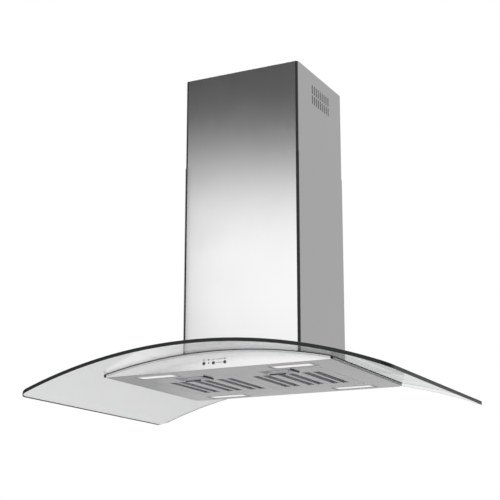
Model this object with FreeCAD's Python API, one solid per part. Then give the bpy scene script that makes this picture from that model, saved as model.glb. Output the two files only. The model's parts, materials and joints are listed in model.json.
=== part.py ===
import FreeCAD, Part
import math
import os
from FreeCAD import Vector

# A ceiling-hung range hood with a curved glass canopy, in millimetres.
# The origin is the centre of the ceiling face, on the axis of the chimney.
# +Z is up, +X is to the right of someone facing the controls, and the front is -Y.

# Overall position of the canopy
canopy_drop = 750.0          # ceiling face down to the flat underside
glass_setback = 42.5         # middle of the glass in front of the chimney axis

# Curved glass
glass_width = 900.0
glass_depth = 640.0
glass_thickness = 8.0
glass_radius = 1234.0        # radius of the upper face
glass_corner = 25.0
glass_hole_radius = 5.0
gasket_thickness = 1.6
gasket_width = 12.0
gasket_inset = 0.5

# Steel body under the glass
body_width = 568.0
body_depth = 438.0
body_setback = 41.5          # middle of the body in front of the chimney axis
body_edge_height = 5.8       # height of the body at its two thin sides
body_rear_corner = 19.0
body_sheet = 1.0
deck_sheet = 1.2
sheet_gap = 0.15             # gap where one sheet laps another
lip_height = 3.6
lip_groove = 0.7
fascia_thickness = 1.2

# Grease filters
filter_width = 217.0
filter_front_inset = 81.0    # front of the body to the front of the filters
filter_rear_inset = 93.0
filter_thickness = 13.0
filter_seam = 1.0            # gap between the two filters
filter_gap = 1.0             # gap between a filter and the rim round it
filter_sheet = 0.8
filter_lip = 6.0
rim_height = 9.8
hook_gap = 0.3
hook_reach = 6.0
hook_width = 20.0
hook_spacing = 120.0
slot_width = 17.5
slot_front_margin = 57.0
slot_rear_margin = 27.0
slot_pitch = 25.0
slot_pair_pitch = 62.5
slot_pairs = 3
baffle_overlap = 2.2
baffle_level = 7.2           # underside of a baffle above the filter's face
baffle_sheet = 0.8
baffle_side = 2.6
baffle_rail = 12.0

# Filter latches
pocket_width = 78.0
pocket_length = 45.0
pocket_depth = 9.0
latch_width = 30.0
latch_thickness = 1.5
latch_gap = 0.3
latch_travel = 6.0
latch_tip_inset = 0.5
pull_width = 38.0
pull_reach = 15.0
pull_web = 2.0
pull_drop = 7.4
pull_rear_gap = 5.0

# Lamps
lamp_length = 105.0
lamp_depth = 38.0
lamp_side_inset = 113.0      # side of the body to the middle of a lamp
lamp_front_inset = 47.5
lamp_rear_inset = 40.0
lamp_wall = 1.5
lamp_flange = 3.0
lamp_height = 11.0
lamp_proud = 0.5
lens_thickness = 2.5
lens_recess = 0.8
lens_gap = 0.2
led_board_thickness = 1.0

# Controls in the fascia
button_radius = 3.75
button_level = 13.3          # above the underside
button_places = (-23.8, 0.2, 28.5)
button_gap = 0.25
button_proud = 0.8
button_travel = 1.2
button_flange = 1.2
button_flange_thickness = 1.0
lamp_dot_radius = 1.4
lamp_dot_x = -11.7
lamp_dot_levels = (13.4, 20.6)
dash_length = 2.8
dash_width = 1.2
dash_pitch = 4.4
dash_first = 8.2
dash_count = 4
light_gap = 0.1
board_length = 76.0
board_height = 24.0
board_thickness = 1.6
board_level = 4.0
board_centre = 3.0
board_standoff = 8.0
boss_radius = 2.6
boss_inset = 4.0
switch_size = 6.0

# Chimney covers
chimney_width = 305.4
chimney_depth = 266.2
chimney_sheet = 0.8
chimney_corner = 9.0
chimney_ceiling_gap = 1.0
upper_cover_length = 404.0
lower_cover_length = 474.0   # top of the lower cover above the highest line of the glass
cover_gap = 0.4
vent_width = 4.0
vent_length = 22.5
vent_pitch = 12.0
vent_count = 9
vent_rows = 2
vent_row_pitch = 26.0
vent_top = 33.0              # top of the upper row below the top of the cover

# Ceiling plate
plate_thickness = 3.0
plate_skirt = 24.0
skirt_thickness = 2.0
plate_gap = 0.3
duct_hole_radius = 85.0
ceiling_bolt_x = 230.0
ceiling_bolt_y = 160.0
ceiling_bolt_radius = 4.5

# Telescoping uprights
upright_leg = 24.0
upright_thickness = 2.0
upright_inset = 4.9          # from the inside of the upper cover
upright_gap = 0.4
upper_upright_length = 455.0
lower_upright_length = 397.0
upright_bend = 3.0
adjust_down = 150.0
adjust_up = 200.0
adjust_end_gap = 1.6
adjust_bolt_below_top = 15.0
bolt_radius = 2.4
bolt_clearance = 0.1
bolt_head_radius = 4.2
bolt_head_height = 3.2

# Clamp frame on top of the glass
frame_height = 26.0          # flat top above the highest line of the glass
frame_sheet = 2.0
frame_corner = 4.0
frame_cover_gap = 5.0        # frame to the inside of the lower cover
air_width = 216.0
air_depth = 188.0
air_corner = 10.0
glass_bolt_radius = 3.0
glass_bolt_head = 5.6
glass_bolt_head_height = 4.0
glass_bolt_edge = 8.4        # bolt line from the outside of the frame
glass_bolt_x = 60.0
glass_bolt_y = 50.0

# Blower
blower_width = 236.0
blower_depth = 208.0
blower_height = 206.0
blower_sheet = 1.0
blower_flange = 10.0
blower_flange_x = 200.0
blower_flange_y = 176.0
screw_inset = 5.0
axle_height = 100.0          # impeller axis above the clamp frame
axle_offset = -30.0          # impeller axis in front of the chimney axis
scroll_width = 104.0
scroll_wall = 1.5
scroll_start = 68.0
scroll_growth = 5.0
inlet_radius = 48.0
impeller_radius = 60.0
impeller_width = 92.0
blade_count = 24
blade_inner_radius = 50.0
blade_thickness = 0.9
blade_bow = 1.6
blade_lean = 12.0            # degrees
ring_depth = 12.0
rim_margin = 1.0             # rings and hub plate beyond the blades
ring_thickness = 1.6
hub_thickness = 2.0
hub_radius = 11.0
hub_length = 26.0
shaft_radius = 4.0
shaft_fit = 0.05
shaft_end = 18.0
shaft_in_motor = 24.0
motor_radius = 36.0
motor_length = 40.0
motor_rib_count = 16
motor_rib_depth = 2.0
bracket_thickness = 2.0
bracket_standoff = 6.0
bracket_arm = 12.0
bracket_reach = 62.0
bracket_arms = 3
bracket_hole_radius = 9.0

# Duct collar and backdraught flaps
collar_radius = 75.0
collar_wall = 1.8
collar_height = 48.0
collar_flange = 10.0
collar_flange_thickness = 2.0
ledge_width = 4.0
ledge_top = 6.3
ledge_thickness = 2.0
flap_gap = 0.3
flap_wall_gap = 0.7
flap_thickness = 1.2
flap_pivot = 4.0             # pivot from the middle of the collar
flap_barrel = 2.0
flap_pin = 1.2
flap_pin_fit = 0.05
crossbar = 1.2
crossbar_height = 4.0

# Mains box and cable entries
power_width = 26.0
power_length = 150.0
power_height = 48.0
power_corner = 3.0
power_edge = 2.0             # from the side of the blower box
gland_y = 40.0
gland_radius = 6.5
gland_nut_radius = 8.8
gland_nut_height = 7.0
gland_height = 22.0
gland_bore = 4.2
grommet_radius = 9.0
grommet_flange = 2.5
grommet_bore = 5.0
grommet_length = 6.0

# Places worked out from the sizes above
underside = -canopy_drop
glass_mid_y = -glass_setback
body_mid_y = -body_setback
deck_radius = glass_radius - glass_thickness - gasket_thickness
body_half = body_width / 2
body_front = body_mid_y - body_depth / 2
body_rear = body_mid_y + body_depth / 2
body_height = body_edge_height + deck_radius - math.sqrt(deck_radius ** 2 - body_half ** 2)
arch_axis_z = underside + body_height - deck_radius
glass_top = arch_axis_z + glass_radius
below_glass = glass_top - glass_width / 2      # a level under every arch, where cuts start

cover_in_x = chimney_width / 2 - chimney_sheet
cover_in_y = chimney_depth / 2 - chimney_sheet
cover_in_corner = chimney_corner - chimney_sheet
lower_out_x = chimney_width / 2 + cover_gap + chimney_sheet
lower_out_y = chimney_depth / 2 + cover_gap + chimney_sheet
lower_cover_top = glass_top + lower_cover_length

frame_top = glass_top + frame_height
frame_x = lower_out_x - chimney_sheet - frame_cover_gap
frame_y = lower_out_y - chimney_sheet - frame_cover_gap
upper_post_x = cover_in_x - upright_inset
upper_post_y = cover_in_y - upright_inset
lower_post_x = upper_post_x - upright_thickness - upright_gap
lower_post_y = upper_post_y - upright_thickness - upright_gap
lower_post_top = frame_top + lower_upright_length
adjust_bolt_z = lower_post_top - adjust_bolt_below_top

filter_front = body_front + filter_front_inset
filter_rear = body_rear - filter_rear_inset
filter_inner_x = filter_seam / 2
filter_outer_x = filter_inner_x + filter_width
slot_front = filter_front + slot_front_margin
slot_rear = filter_rear - slot_rear_margin
pocket_rear = filter_front + pocket_length
pull_rear = pocket_rear - pull_rear_gap
latch_bottom = underside + rim_height + hook_gap

blower_top = frame_top + blower_height
axle_y = axle_offset
axle_z = frame_top + axle_height
board_y = body_front + fascia_thickness + board_standoff
power_x = -blower_width / 2 + power_edge + power_width / 2
CORNERS = (("front_left", -1, -1), ("front_right", 1, -1),
           ("rear_left", -1, 1), ("rear_right", 1, 1))


def box(x0, x1, y0, y1, z0, z1):
    return Part.makeBox(x1 - x0, y1 - y0, z1 - z0, Vector(x0, y0, z0))


def mid_box(half_x, half_y, z0, z1):
    return box(-half_x, half_x, -half_y, half_y, z0, z1)


def rounded(solid, radius, keep=lambda point: True):
    """Rounds the upright edges of a solid whose middle passes the test keep."""
    edges = [edge for edge in solid.Edges
             if abs(edge.tangentAt(edge.FirstParameter).z) > 0.99
             and keep(edge.CenterOfMass)]
    return solid.makeFillet(radius, edges)


def rod(start, direction, radius, length):
    return Part.makeCylinder(radius, length, start, direction)


def hexagon(centre, direction, radius, height):
    across = Vector(1, 0, 0) if abs(direction.z) > 0.5 else Vector(0, 0, 1)
    side = direction.cross(across)
    turns = [math.radians(60 * i) for i in range(7)]
    points = [centre + across * (radius * math.cos(turn)) + side * (radius * math.sin(turn))
              for turn in turns]
    return Part.Face(Part.makePolygon(points)).extrude(direction * height)


def screw(seat, direction, length):
    """A hexagon-headed screw: its head stands on the seat, its shank runs the other way."""
    head = hexagon(seat, direction, bolt_head_radius, bolt_head_height)
    return head.fuse(rod(seat, direction * -1, bolt_radius, length))


def obround(centre, run, length, width, through):
    """A slot with round ends, run along one unit vector and cut along another."""
    side = through.cross(run).normalize() * (width / 2)
    reach = run * (length / 2 - width / 2)
    end = run * (length / 2)
    corners = [centre - reach - side, centre + reach - side,
               centre + reach + side, centre - reach + side]
    edges = [Part.LineSegment(corners[0], corners[1]).toShape(),
             Part.Arc(corners[1], centre + end, corners[2]).toShape(),
             Part.LineSegment(corners[2], corners[3]).toShape(),
             Part.Arc(corners[3], centre - end, corners[0]).toShape()]
    return Part.Face(Part.Wire(edges)).extrude(through)


def arch_z(radius, x):
    """Height of an arch of this radius about the glass's own axis."""
    return arch_axis_z + math.sqrt(radius ** 2 - x ** 2)


def arch_edge(radius, x0, x1, y):
    middle = (x0 + x1) / 2
    points = [Vector(x, y, arch_z(radius, x)) for x in (x0, middle, x1)]
    return Part.Arc(*points).toShape()


def arch_band(outer, inner, half, y0, y1):
    """The band between two arches, cut off upright at each side."""
    left_side = Part.LineSegment(Vector(-half, y0, arch_z(inner, half)),
                                 Vector(-half, y0, arch_z(outer, half))).toShape()
    right_side = Part.LineSegment(Vector(half, y0, arch_z(outer, half)),
                                  Vector(half, y0, arch_z(inner, half))).toShape()
    wire = Part.Wire([arch_edge(outer, -half, half, y0), right_side,
                      arch_edge(inner, half, -half, y0), left_side])
    return Part.Face(wire).extrude(Vector(0, y1 - y0, 0))


def under_arch(radius, half, z0, y0, y1):
    """Everything under an arch, down to a level floor."""
    left_low = Vector(-half, y0, z0)
    right_low = Vector(half, y0, z0)
    left_high = Vector(-half, y0, arch_z(radius, half))
    right_high = Vector(half, y0, arch_z(radius, half))
    wire = Part.Wire([arch_edge(radius, -half, half, y0),
                      Part.LineSegment(right_high, right_low).toShape(),
                      Part.LineSegment(right_low, left_low).toShape(),
                      Part.LineSegment(left_low, left_high).toShape()])
    return Part.Face(wire).extrude(Vector(0, y1 - y0, 0))


def quadrant(shape, side_x, side_y):
    """Mirrors a piece drawn at the rear right to one of the four corners."""
    if side_x < 0:
        shape = shape.mirror(Vector(0, 0, 0), Vector(1, 0, 0))
    if side_y < 0:
        shape = shape.mirror(Vector(0, 0, 0), Vector(0, 1, 0))
    return shape


def fused(shapes):
    return shapes[0].multiFuse(shapes[1:]).removeSplitter()


def save(name, *solids):
    shape = solids[0] if len(solids) == 1 else Part.makeCompound(list(solids))
    shape.exportStep("parts/" + name + ".step")


# ---- Ceiling side -------------------------------------------------------------------------

def ceiling_plate():
    half_x = cover_in_x - plate_gap
    half_y = cover_in_y - plate_gap
    plate = rounded(mid_box(half_x, half_y, -plate_skirt, 0), cover_in_corner)
    hollow = rounded(mid_box(half_x - skirt_thickness, half_y - skirt_thickness,
                             -plate_skirt, -plate_thickness), cover_in_corner - skirt_thickness)
    down = Vector(0, 0, -1)
    holes = [rod(Vector(0, 0, 0), down, duct_hole_radius, plate_thickness),
             rod(Vector(power_x, gland_y, 0), down, grommet_radius, plate_thickness)]
    for name, side_x, side_y in CORNERS:
        place = Vector(side_x * ceiling_bolt_x / 2, side_y * ceiling_bolt_y / 2, 0)
        holes.append(rod(place, down, ceiling_bolt_radius, plate_thickness))
        tab = Vector(side_x * (upper_post_x - upright_leg / 2),
                     side_y * (upper_post_y - upright_leg / 2), 0)
        holes.append(rod(tab, down, bolt_radius + bolt_clearance, plate_thickness))
    return plate.cut(hollow).cut(Part.makeCompound(holes))


def cable_grommet():
    top = rod(Vector(power_x, gland_y, 0), Vector(0, 0, -1),
              grommet_radius - bolt_clearance, plate_thickness)
    flange = rod(Vector(power_x, gland_y, -plate_thickness), Vector(0, 0, -1),
                 grommet_radius + grommet_flange, grommet_length - plate_thickness)
    bore = rod(Vector(power_x, gland_y, 0), Vector(0, 0, -1), grommet_bore, grommet_length)
    return top.fuse(flange).cut(bore)


def upper_chimney():
    top = -chimney_ceiling_gap
    bottom = top - upper_cover_length
    outside = rounded(mid_box(chimney_width / 2, chimney_depth / 2, bottom, top), chimney_corner)
    inside = rounded(mid_box(cover_in_x, cover_in_y, bottom, top), cover_in_corner)
    vents = []
    for row in range(vent_rows):
        z = top - vent_top - vent_length / 2 - row * vent_row_pitch
        for i in range(vent_count):
            y = (i - (vent_count - 1) / 2) * vent_pitch
            vents.append(box(-chimney_width, chimney_width, y - vent_width / 2,
                             y + vent_width / 2, z - vent_length / 2, z + vent_length / 2))
    return outside.cut(inside).cut(Part.makeCompound(vents))


def angle(corner_x, corner_y, z0, z1):
    """A bent angle with its outer corner at one place."""
    outside = box(corner_x - upright_leg, corner_x, corner_y - upright_leg, corner_y, z0, z1)
    inside = box(corner_x - upright_leg, corner_x - upright_thickness,
                 corner_y - upright_leg, corner_y - upright_thickness, z0, z1)
    return rounded(outside.cut(inside), upright_bend,
                   lambda point: point.x > corner_x - 0.1 and point.y > corner_y - 0.1)


def foot_tab(corner_x, corner_y, z0):
    tab = box(corner_x - upright_leg, corner_x - upright_thickness,
              corner_y - upright_leg, corner_y - upright_thickness, z0, z0 + upright_thickness)
    hole = rod(Vector(corner_x - upright_leg / 2, corner_y - upright_leg / 2, z0),
               Vector(0, 0, 1), bolt_radius + bolt_clearance, upright_thickness)
    return tab.cut(hole)


def leg_points(corner_x, corner_y, z):
    """Where a height bolt crosses each leg's outer face, with the direction out through it."""
    return ((Vector(corner_x, lower_post_y - upright_leg / 2, z), Vector(1, 0, 0)),
            (Vector(lower_post_x - upright_leg / 2, corner_y, z), Vector(0, 1, 0)))


def upper_upright():
    top = -plate_thickness
    post = angle(upper_post_x, upper_post_y, top - upper_upright_length, top)
    post = post.fuse(foot_tab(upper_post_x, upper_post_y, top - upright_thickness))
    slot_low = adjust_bolt_z - adjust_down - bolt_radius - adjust_end_gap
    slot_high = adjust_bolt_z + adjust_up + bolt_radius + adjust_end_gap
    for point, out in leg_points(upper_post_x, upper_post_y, (slot_low + slot_high) / 2):
        slot = obround(point - out * upright_thickness, Vector(0, 0, 1), slot_high - slot_low,
                       2 * bolt_radius + adjust_end_gap, out * upright_thickness)
        post = post.cut(slot)
    return post.removeSplitter()


def upright_screws():
    screws = []
    z = -plate_thickness - upright_thickness
    for name, side_x, side_y in CORNERS:
        place = Vector(side_x * (upper_post_x - upright_leg / 2),
                       side_y * (upper_post_y - upright_leg / 2), z)
        screws.append(screw(place, Vector(0, 0, -1), -z))
    return screws


# ---- Chimney and clamp frame on the canopy -----------------------------------------------

def lower_chimney():
    outside = rounded(mid_box(lower_out_x, lower_out_y, below_glass, lower_cover_top),
                      chimney_corner + cover_gap + chimney_sheet)
    inside = rounded(mid_box(lower_out_x - chimney_sheet, lower_out_y - chimney_sheet,
                             below_glass, lower_cover_top), chimney_corner + cover_gap)
    glass = under_arch(glass_radius + hook_gap, glass_width / 2, below_glass,
                       -glass_depth, glass_depth)
    return outside.cut(inside).cut(glass)


def lower_upright():
    post = angle(lower_post_x, lower_post_y, frame_top, lower_post_top)
    post = post.fuse(foot_tab(lower_post_x, lower_post_y, frame_top))
    for point, out in leg_points(lower_post_x, lower_post_y, adjust_bolt_z):
        post = post.cut(rod(point, out * -1, bolt_radius + bolt_clearance, upright_thickness))
    return post.removeSplitter()


def height_bolts():
    """One bolt in each leg, with its head outside the upper upright's slot."""
    bolts = []
    seat = upright_gap + upright_thickness + hook_gap
    for name, side_x, side_y in CORNERS:
        for point, out in leg_points(lower_post_x, lower_post_y, adjust_bolt_z):
            bolt = screw(point + out * seat, out, seat + upright_thickness)
            bolts.append(quadrant(bolt, side_x, side_y))
    return bolts


def foot_screws():
    screws = []
    z = frame_top + upright_thickness
    for name, side_x, side_y in CORNERS:
        place = Vector(side_x * (lower_post_x - upright_leg / 2),
                       side_y * (lower_post_y - upright_leg / 2), z)
        screws.append(screw(place, Vector(0, 0, 1), upright_thickness + frame_sheet))
    return screws


def frame_bolt_places():
    edge_x = frame_x - glass_bolt_edge
    edge_y = frame_y - glass_bolt_edge
    across = [Vector(x, y, 0) for x in (-edge_x, edge_x) for y in (-glass_bolt_y, glass_bolt_y)]
    along = [Vector(x, y, 0) for x in (-glass_bolt_x, glass_bolt_x) for y in (-edge_y, edge_y)]
    return across + along


def upright_holes(places, radius, z0, z1):
    return Part.makeCompound([rod(Vector(p.x, p.y, z0), Vector(0, 0, 1), radius, z1 - z0)
                              for p in places])


def air_way(grow, z0, z1):
    return rounded(mid_box(air_width / 2 + grow, air_depth / 2 + grow, z0, z1),
                   air_corner + grow)


def clamp_frame():
    """A folded channel ring with a flat top and skirts cut to the glass."""
    outside = rounded(mid_box(frame_x, frame_y, below_glass, frame_top), frame_corner)
    channel = rounded(mid_box(frame_x - frame_sheet, frame_y - frame_sheet,
                              below_glass, frame_top - frame_sheet), frame_corner - frame_sheet)
    channel = channel.cut(air_way(frame_sheet, below_glass, frame_top))
    under = under_arch(glass_radius + gasket_thickness, glass_width / 2, below_glass,
                       -glass_depth, glass_depth)
    frame = outside.cut(air_way(0, below_glass, frame_top)).cut(channel).cut(under)
    bolts = upright_holes(frame_bolt_places(), glass_bolt_radius + bolt_clearance,
                          frame_top - frame_sheet, frame_top)
    feet = [Vector(sx * (lower_post_x - upright_leg / 2), sy * (lower_post_y - upright_leg / 2), 0)
            for name, sx, sy in CORNERS]
    foot_holes = upright_holes(feet, bolt_radius + bolt_clearance,
                               frame_top - frame_sheet, frame_top)
    screws = upright_holes(blower_screw_places(), bolt_radius + bolt_clearance,
                           frame_top - frame_sheet, frame_top)
    return frame.cut(bolts).cut(foot_holes).cut(screws)


def clamp_gasket():
    """A rubber ring on the glass, as wide as the clamp frame."""
    band = arch_band(glass_radius + gasket_thickness, glass_radius, frame_x, -frame_y, frame_y)
    ring = band.cut(air_way(0, below_glass, frame_top))
    return ring.cut(upright_holes(frame_bolt_places(), glass_hole_radius, below_glass, frame_top))


def cover_brackets():
    """Spacers that fix the lower cover to the sides of the clamp frame."""
    brackets = []
    for side in (-1, 1):
        for y in (-glass_bolt_y, glass_bolt_y):
            x0 = side * frame_x
            x1 = side * (lower_out_x - chimney_sheet)
            brackets.append(box(min(x0, x1), max(x0, x1), y - screw_inset, y + screw_inset,
                                frame_top - frame_height / 2, frame_top))
    return brackets


# ---- Glass and canopy body -----------------------------------------------------------------

def glass_canopy():
    y0 = glass_mid_y - glass_depth / 2
    y1 = glass_mid_y + glass_depth / 2
    sheet = arch_band(glass_radius, glass_radius - glass_thickness,
                      glass_width / 2 + glass_corner, y0 - glass_corner, y1 + glass_corner)
    outline = rounded(box(-glass_width / 2, glass_width / 2, y0, y1, below_glass, frame_top),
                      glass_corner)
    sheet = sheet.common(outline).cut(air_way(0, below_glass, frame_top))
    return sheet.cut(upright_holes(frame_bolt_places(), glass_hole_radius, below_glass, frame_top))


def body_outline(inset, z0, z1):
    """The body's footprint: sharp at the front, rounded at the rear."""
    plan = box(-body_half + inset, body_half - inset, body_front + inset, body_rear - inset, z0, z1)
    return rounded(plan, body_rear_corner - inset, lambda point: point.y > body_mid_y)


def glass_gasket():
    """Rubber between deck and glass: a ring round the body's edge and one round the air way."""
    band = arch_band(deck_radius + gasket_thickness, deck_radius, body_half, body_front, body_rear)
    rim = band.common(body_outline(gasket_inset, underside, frame_top))
    rim = rim.cut(body_outline(gasket_width, underside, frame_top))
    inner = arch_band(deck_radius + gasket_thickness, deck_radius, frame_x, -frame_y, frame_y)
    inner = inner.cut(air_way(0, below_glass, frame_top))
    inner = inner.cut(upright_holes(frame_bolt_places(), glass_hole_radius, below_glass, frame_top))
    return [rim, inner]


def glass_bolts():
    bolts = []
    for place in frame_bolt_places():
        lowest_x = abs(place.x) + glass_bolt_head
        nut_top = arch_z(deck_radius - deck_sheet, lowest_x) - sheet_gap
        nut_base = Vector(place.x, place.y, nut_top - glass_bolt_head_height)
        head_base = Vector(place.x, place.y, frame_top)
        up = Vector(0, 0, 1)
        shank = rod(nut_base, up, glass_bolt_radius, frame_top - nut_base.z)
        bolts.append(fused([shank, hexagon(nut_base, up, glass_bolt_head, glass_bolt_head_height),
                            hexagon(head_base, up, glass_bolt_head, glass_bolt_head_height)]))
    return bolts


def canopy_deck():
    """The arched steel sheet under the glass, with a narrow lip turned down at the front."""
    margin = body_rear_corner
    sheet = arch_band(deck_radius, deck_radius - deck_sheet, body_half + margin,
                      body_front - margin, body_rear + margin)
    lip = arch_band(deck_radius, deck_radius - lip_height, body_half + margin,
                    body_front - margin, body_front + deck_sheet)
    deck = sheet.fuse(lip).common(body_outline(0, underside - body_height, frame_top))
    deck = deck.cut(air_way(0, below_glass, frame_top))
    return deck.cut(upright_holes(frame_bolt_places(), glass_bolt_radius + bolt_clearance,
                                  below_glass, frame_top)).removeSplitter()


def lamp_places():
    return [("lamp_" + name, side_x * (body_half - lamp_side_inset),
             body_front + lamp_front_inset if side_y < 0 else body_rear - lamp_rear_inset)
            for name, side_x, side_y in CORNERS]


def lamp_block(x, y, grow, z0, z1):
    half_x = lamp_length / 2 + grow
    half_y = lamp_depth / 2 + grow
    return box(x - half_x, x + half_x, y - half_y, y + half_y, z0, z1)


def canopy_pan():
    """The flat underside folded up at its sides and rear, with rims round the filters."""
    top = arch_z(deck_radius, 0)
    front = body_front + fascia_thickness + sheet_gap
    behind_fascia = box(-body_half, body_half, front, body_rear, underside, top)
    plan = body_outline(0, underside, top).common(behind_fascia)
    hollow = body_outline(body_sheet, underside + body_sheet, top)
    hollow = hollow.fuse(box(-body_half + body_sheet, body_half - body_sheet, body_front,
                             body_mid_y, underside + body_sheet, top))
    ceiling = under_arch(deck_radius - deck_sheet - sheet_gap, body_half, underside - body_height,
                         body_front, body_rear)
    pan = plan.cut(hollow).common(ceiling)
    opening_x = filter_outer_x + filter_gap
    front_y = filter_front - filter_gap
    rear_y = filter_rear + filter_gap
    rim = box(-opening_x - body_sheet, opening_x + body_sheet, front_y - body_sheet,
              rear_y + body_sheet, underside, underside + rim_height)
    opening = box(-opening_x, opening_x, front_y, rear_y, underside, underside + rim_height)
    pan = pan.fuse(rim).cut(opening)
    for name, x, y in lamp_places():
        pan = pan.cut(lamp_block(x, y, lamp_wall + lens_gap, underside, underside + body_sheet))
    return pan.removeSplitter()


def front_fascia():
    """The lens-shaped control panel, with bosses behind it for the control board."""
    back = body_front + fascia_thickness
    panel = under_arch(deck_radius - lip_height - lip_groove, body_half, underside,
                       body_front, back)
    bosses = [rod(Vector(x, back, z), Vector(0, 1, 0), boss_radius, board_standoff)
              for x in board_xs() for z in board_zs()]
    panel = fused([panel] + bosses)
    holes = [rod(Vector(x, body_front, underside + button_level), Vector(0, 1, 0),
                 button_radius + button_gap, fascia_thickness) for x in button_places]
    holes += status_lights(light_gap)
    return panel.cut(Part.makeCompound(holes))


# ---- Controls ------------------------------------------------------------------------------

def board_xs():
    reach = board_length / 2 - boss_inset
    return (board_centre - reach, board_centre + reach)


def board_zs():
    return (underside + board_level + boss_inset,
            underside + board_level + board_height - boss_inset)


def control_board():
    """The board with a push switch behind each button."""
    board = box(board_centre - board_length / 2, board_centre + board_length / 2, board_y,
                board_y + board_thickness, underside + board_level,
                underside + board_level + board_height)
    z = underside + button_level
    half = switch_size / 2
    front = body_front + fascia_thickness + button_flange_thickness + button_travel + 2 * hook_gap
    switches = [box(x - half, x + half, front, board_y, z - half, z + half)
                for x in button_places]
    return fused([board] + switches)


def button(x):
    """A push button held behind the fascia by its flange, just clear of its switch."""
    centre = Vector(x, body_front - button_proud, underside + button_level)
    flange_y = body_front + fascia_thickness + hook_gap
    cap = rod(centre, Vector(0, 1, 0), button_radius, flange_y - centre.y)
    flange = rod(Vector(x, flange_y, centre.z), Vector(0, 1, 0), button_radius + button_flange,
                 button_flange_thickness)
    return cap.fuse(flange)


def status_lights(grow):
    """Light guides that run from the board through the fascia: two dots and a row of dashes."""
    length = fascia_thickness + board_standoff
    lights = [rod(Vector(lamp_dot_x, body_front, underside + level), Vector(0, 1, 0),
                  lamp_dot_radius + grow, length) for level in lamp_dot_levels]
    for i in range(dash_count):
        x = dash_first + i * dash_pitch
        z = underside + button_level
        lights.append(box(x - dash_length / 2 - grow, x + dash_length / 2 + grow, body_front,
                          body_front + length, z - dash_width / 2 - grow,
                          z + dash_width / 2 + grow))
    return lights


# ---- Lamps ---------------------------------------------------------------------------------

def lamp_housing(x, y):
    """A tray on the underside whose lower edge shows as a thin bezel."""
    seat = underside + body_sheet
    tray = lamp_block(x, y, lamp_wall + lamp_flange, seat, seat + lamp_height)
    tray = rounded(tray, lamp_flange)
    bezel = lamp_block(x, y, lamp_wall, underside - lamp_proud, seat)
    hollow = lamp_block(x, y, 0, underside - lamp_proud, seat + lamp_height - lamp_wall)
    return tray.fuse(bezel).cut(hollow)


def lamp_lens(x, y):
    bottom = underside - lamp_proud + lens_recess
    return lamp_block(x, y, -lens_gap, bottom, bottom + lens_thickness)


def led_board(x, y):
    top = underside + body_sheet + lamp_height - lamp_wall
    return lamp_block(x, y, -lamp_flange, top - led_board_thickness, top)


# ---- Filters -------------------------------------------------------------------------------

def slot_xs():
    """The middle of each slot, from the middle of a filter."""
    pairs = [(i - (slot_pairs - 1) / 2) * slot_pair_pitch for i in range(slot_pairs)]
    return [middle + side * slot_pitch / 2 for middle in pairs for side in (-1, 1)]


def filter_tray(middle):
    """A shallow steel tray with slots in its face, a finger pocket and two hooks."""
    x0 = middle - filter_width / 2
    x1 = middle + filter_width / 2
    top = underside + filter_thickness
    sheet = filter_sheet
    tray = box(x0, x1, filter_front, filter_rear, underside, top)
    inside = box(x0 + sheet, x1 - sheet, filter_front + sheet, filter_rear - sheet,
                 underside + sheet, top - sheet)
    mouth = box(x0 + filter_lip, x1 - filter_lip, filter_front + filter_lip,
                filter_rear - filter_lip, top - sheet, top)
    tray = tray.cut(inside).cut(mouth)
    slots = [box(middle + x - slot_width / 2, middle + x + slot_width / 2, slot_front,
                 slot_rear, underside, underside + sheet) for x in slot_xs()]
    tray = tray.cut(Part.makeCompound(slots))
    half = pocket_width / 2
    ceiling = underside + pocket_depth
    shell = box(middle - half - sheet, middle + half + sheet, filter_front,
                pocket_rear + sheet, underside, ceiling + sheet)
    pocket = box(middle - half, middle + half, filter_front + sheet, pocket_rear,
                 underside, ceiling)
    tray = tray.fuse(shell).cut(pocket)
    pull_half = pull_width / 2 + latch_gap
    slit = box(middle - pull_half, middle + pull_half,
               pull_rear - pull_web - latch_travel - latch_gap, pull_rear + latch_gap,
               ceiling, ceiling + sheet)
    tongue_half = latch_width / 2 + latch_gap
    gate = box(middle - tongue_half, middle + tongue_half, filter_front, filter_front + sheet,
               latch_bottom - latch_gap, latch_bottom + latch_thickness + latch_gap)
    tray = tray.cut(slit).cut(gate)
    hooks = [box(middle + side * hook_spacing / 2 - hook_width / 2,
                 middle + side * hook_spacing / 2 + hook_width / 2, filter_rear - sheet,
                 filter_rear + filter_gap + hook_reach, latch_bottom, latch_bottom + body_sheet)
             for side in (-1, 1)]
    return fused([tray] + hooks)


def filter_baffles(middle):
    """Channels that stand over the slots, joined by a rail at each end."""
    half = slot_width / 2 + baffle_overlap
    z0 = underside + baffle_level
    z1 = z0 + baffle_sheet
    pieces = []
    for x in slot_xs():
        channel = box(middle + x - half, middle + x + half, slot_front, slot_rear,
                      z0 - baffle_side, z1)
        channel = channel.cut(box(middle + x - half + baffle_sheet, middle + x + half - baffle_sheet,
                                  slot_front, slot_rear, z0 - baffle_side, z0))
        pieces.append(channel)
    reach = filter_width / 2 - filter_sheet - sheet_gap
    for y in (slot_front, slot_rear - baffle_rail):
        pieces.append(box(middle - reach, middle + reach, y, y + baffle_rail, z1,
                          underside + filter_thickness - filter_sheet))
    return fused(pieces)


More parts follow.
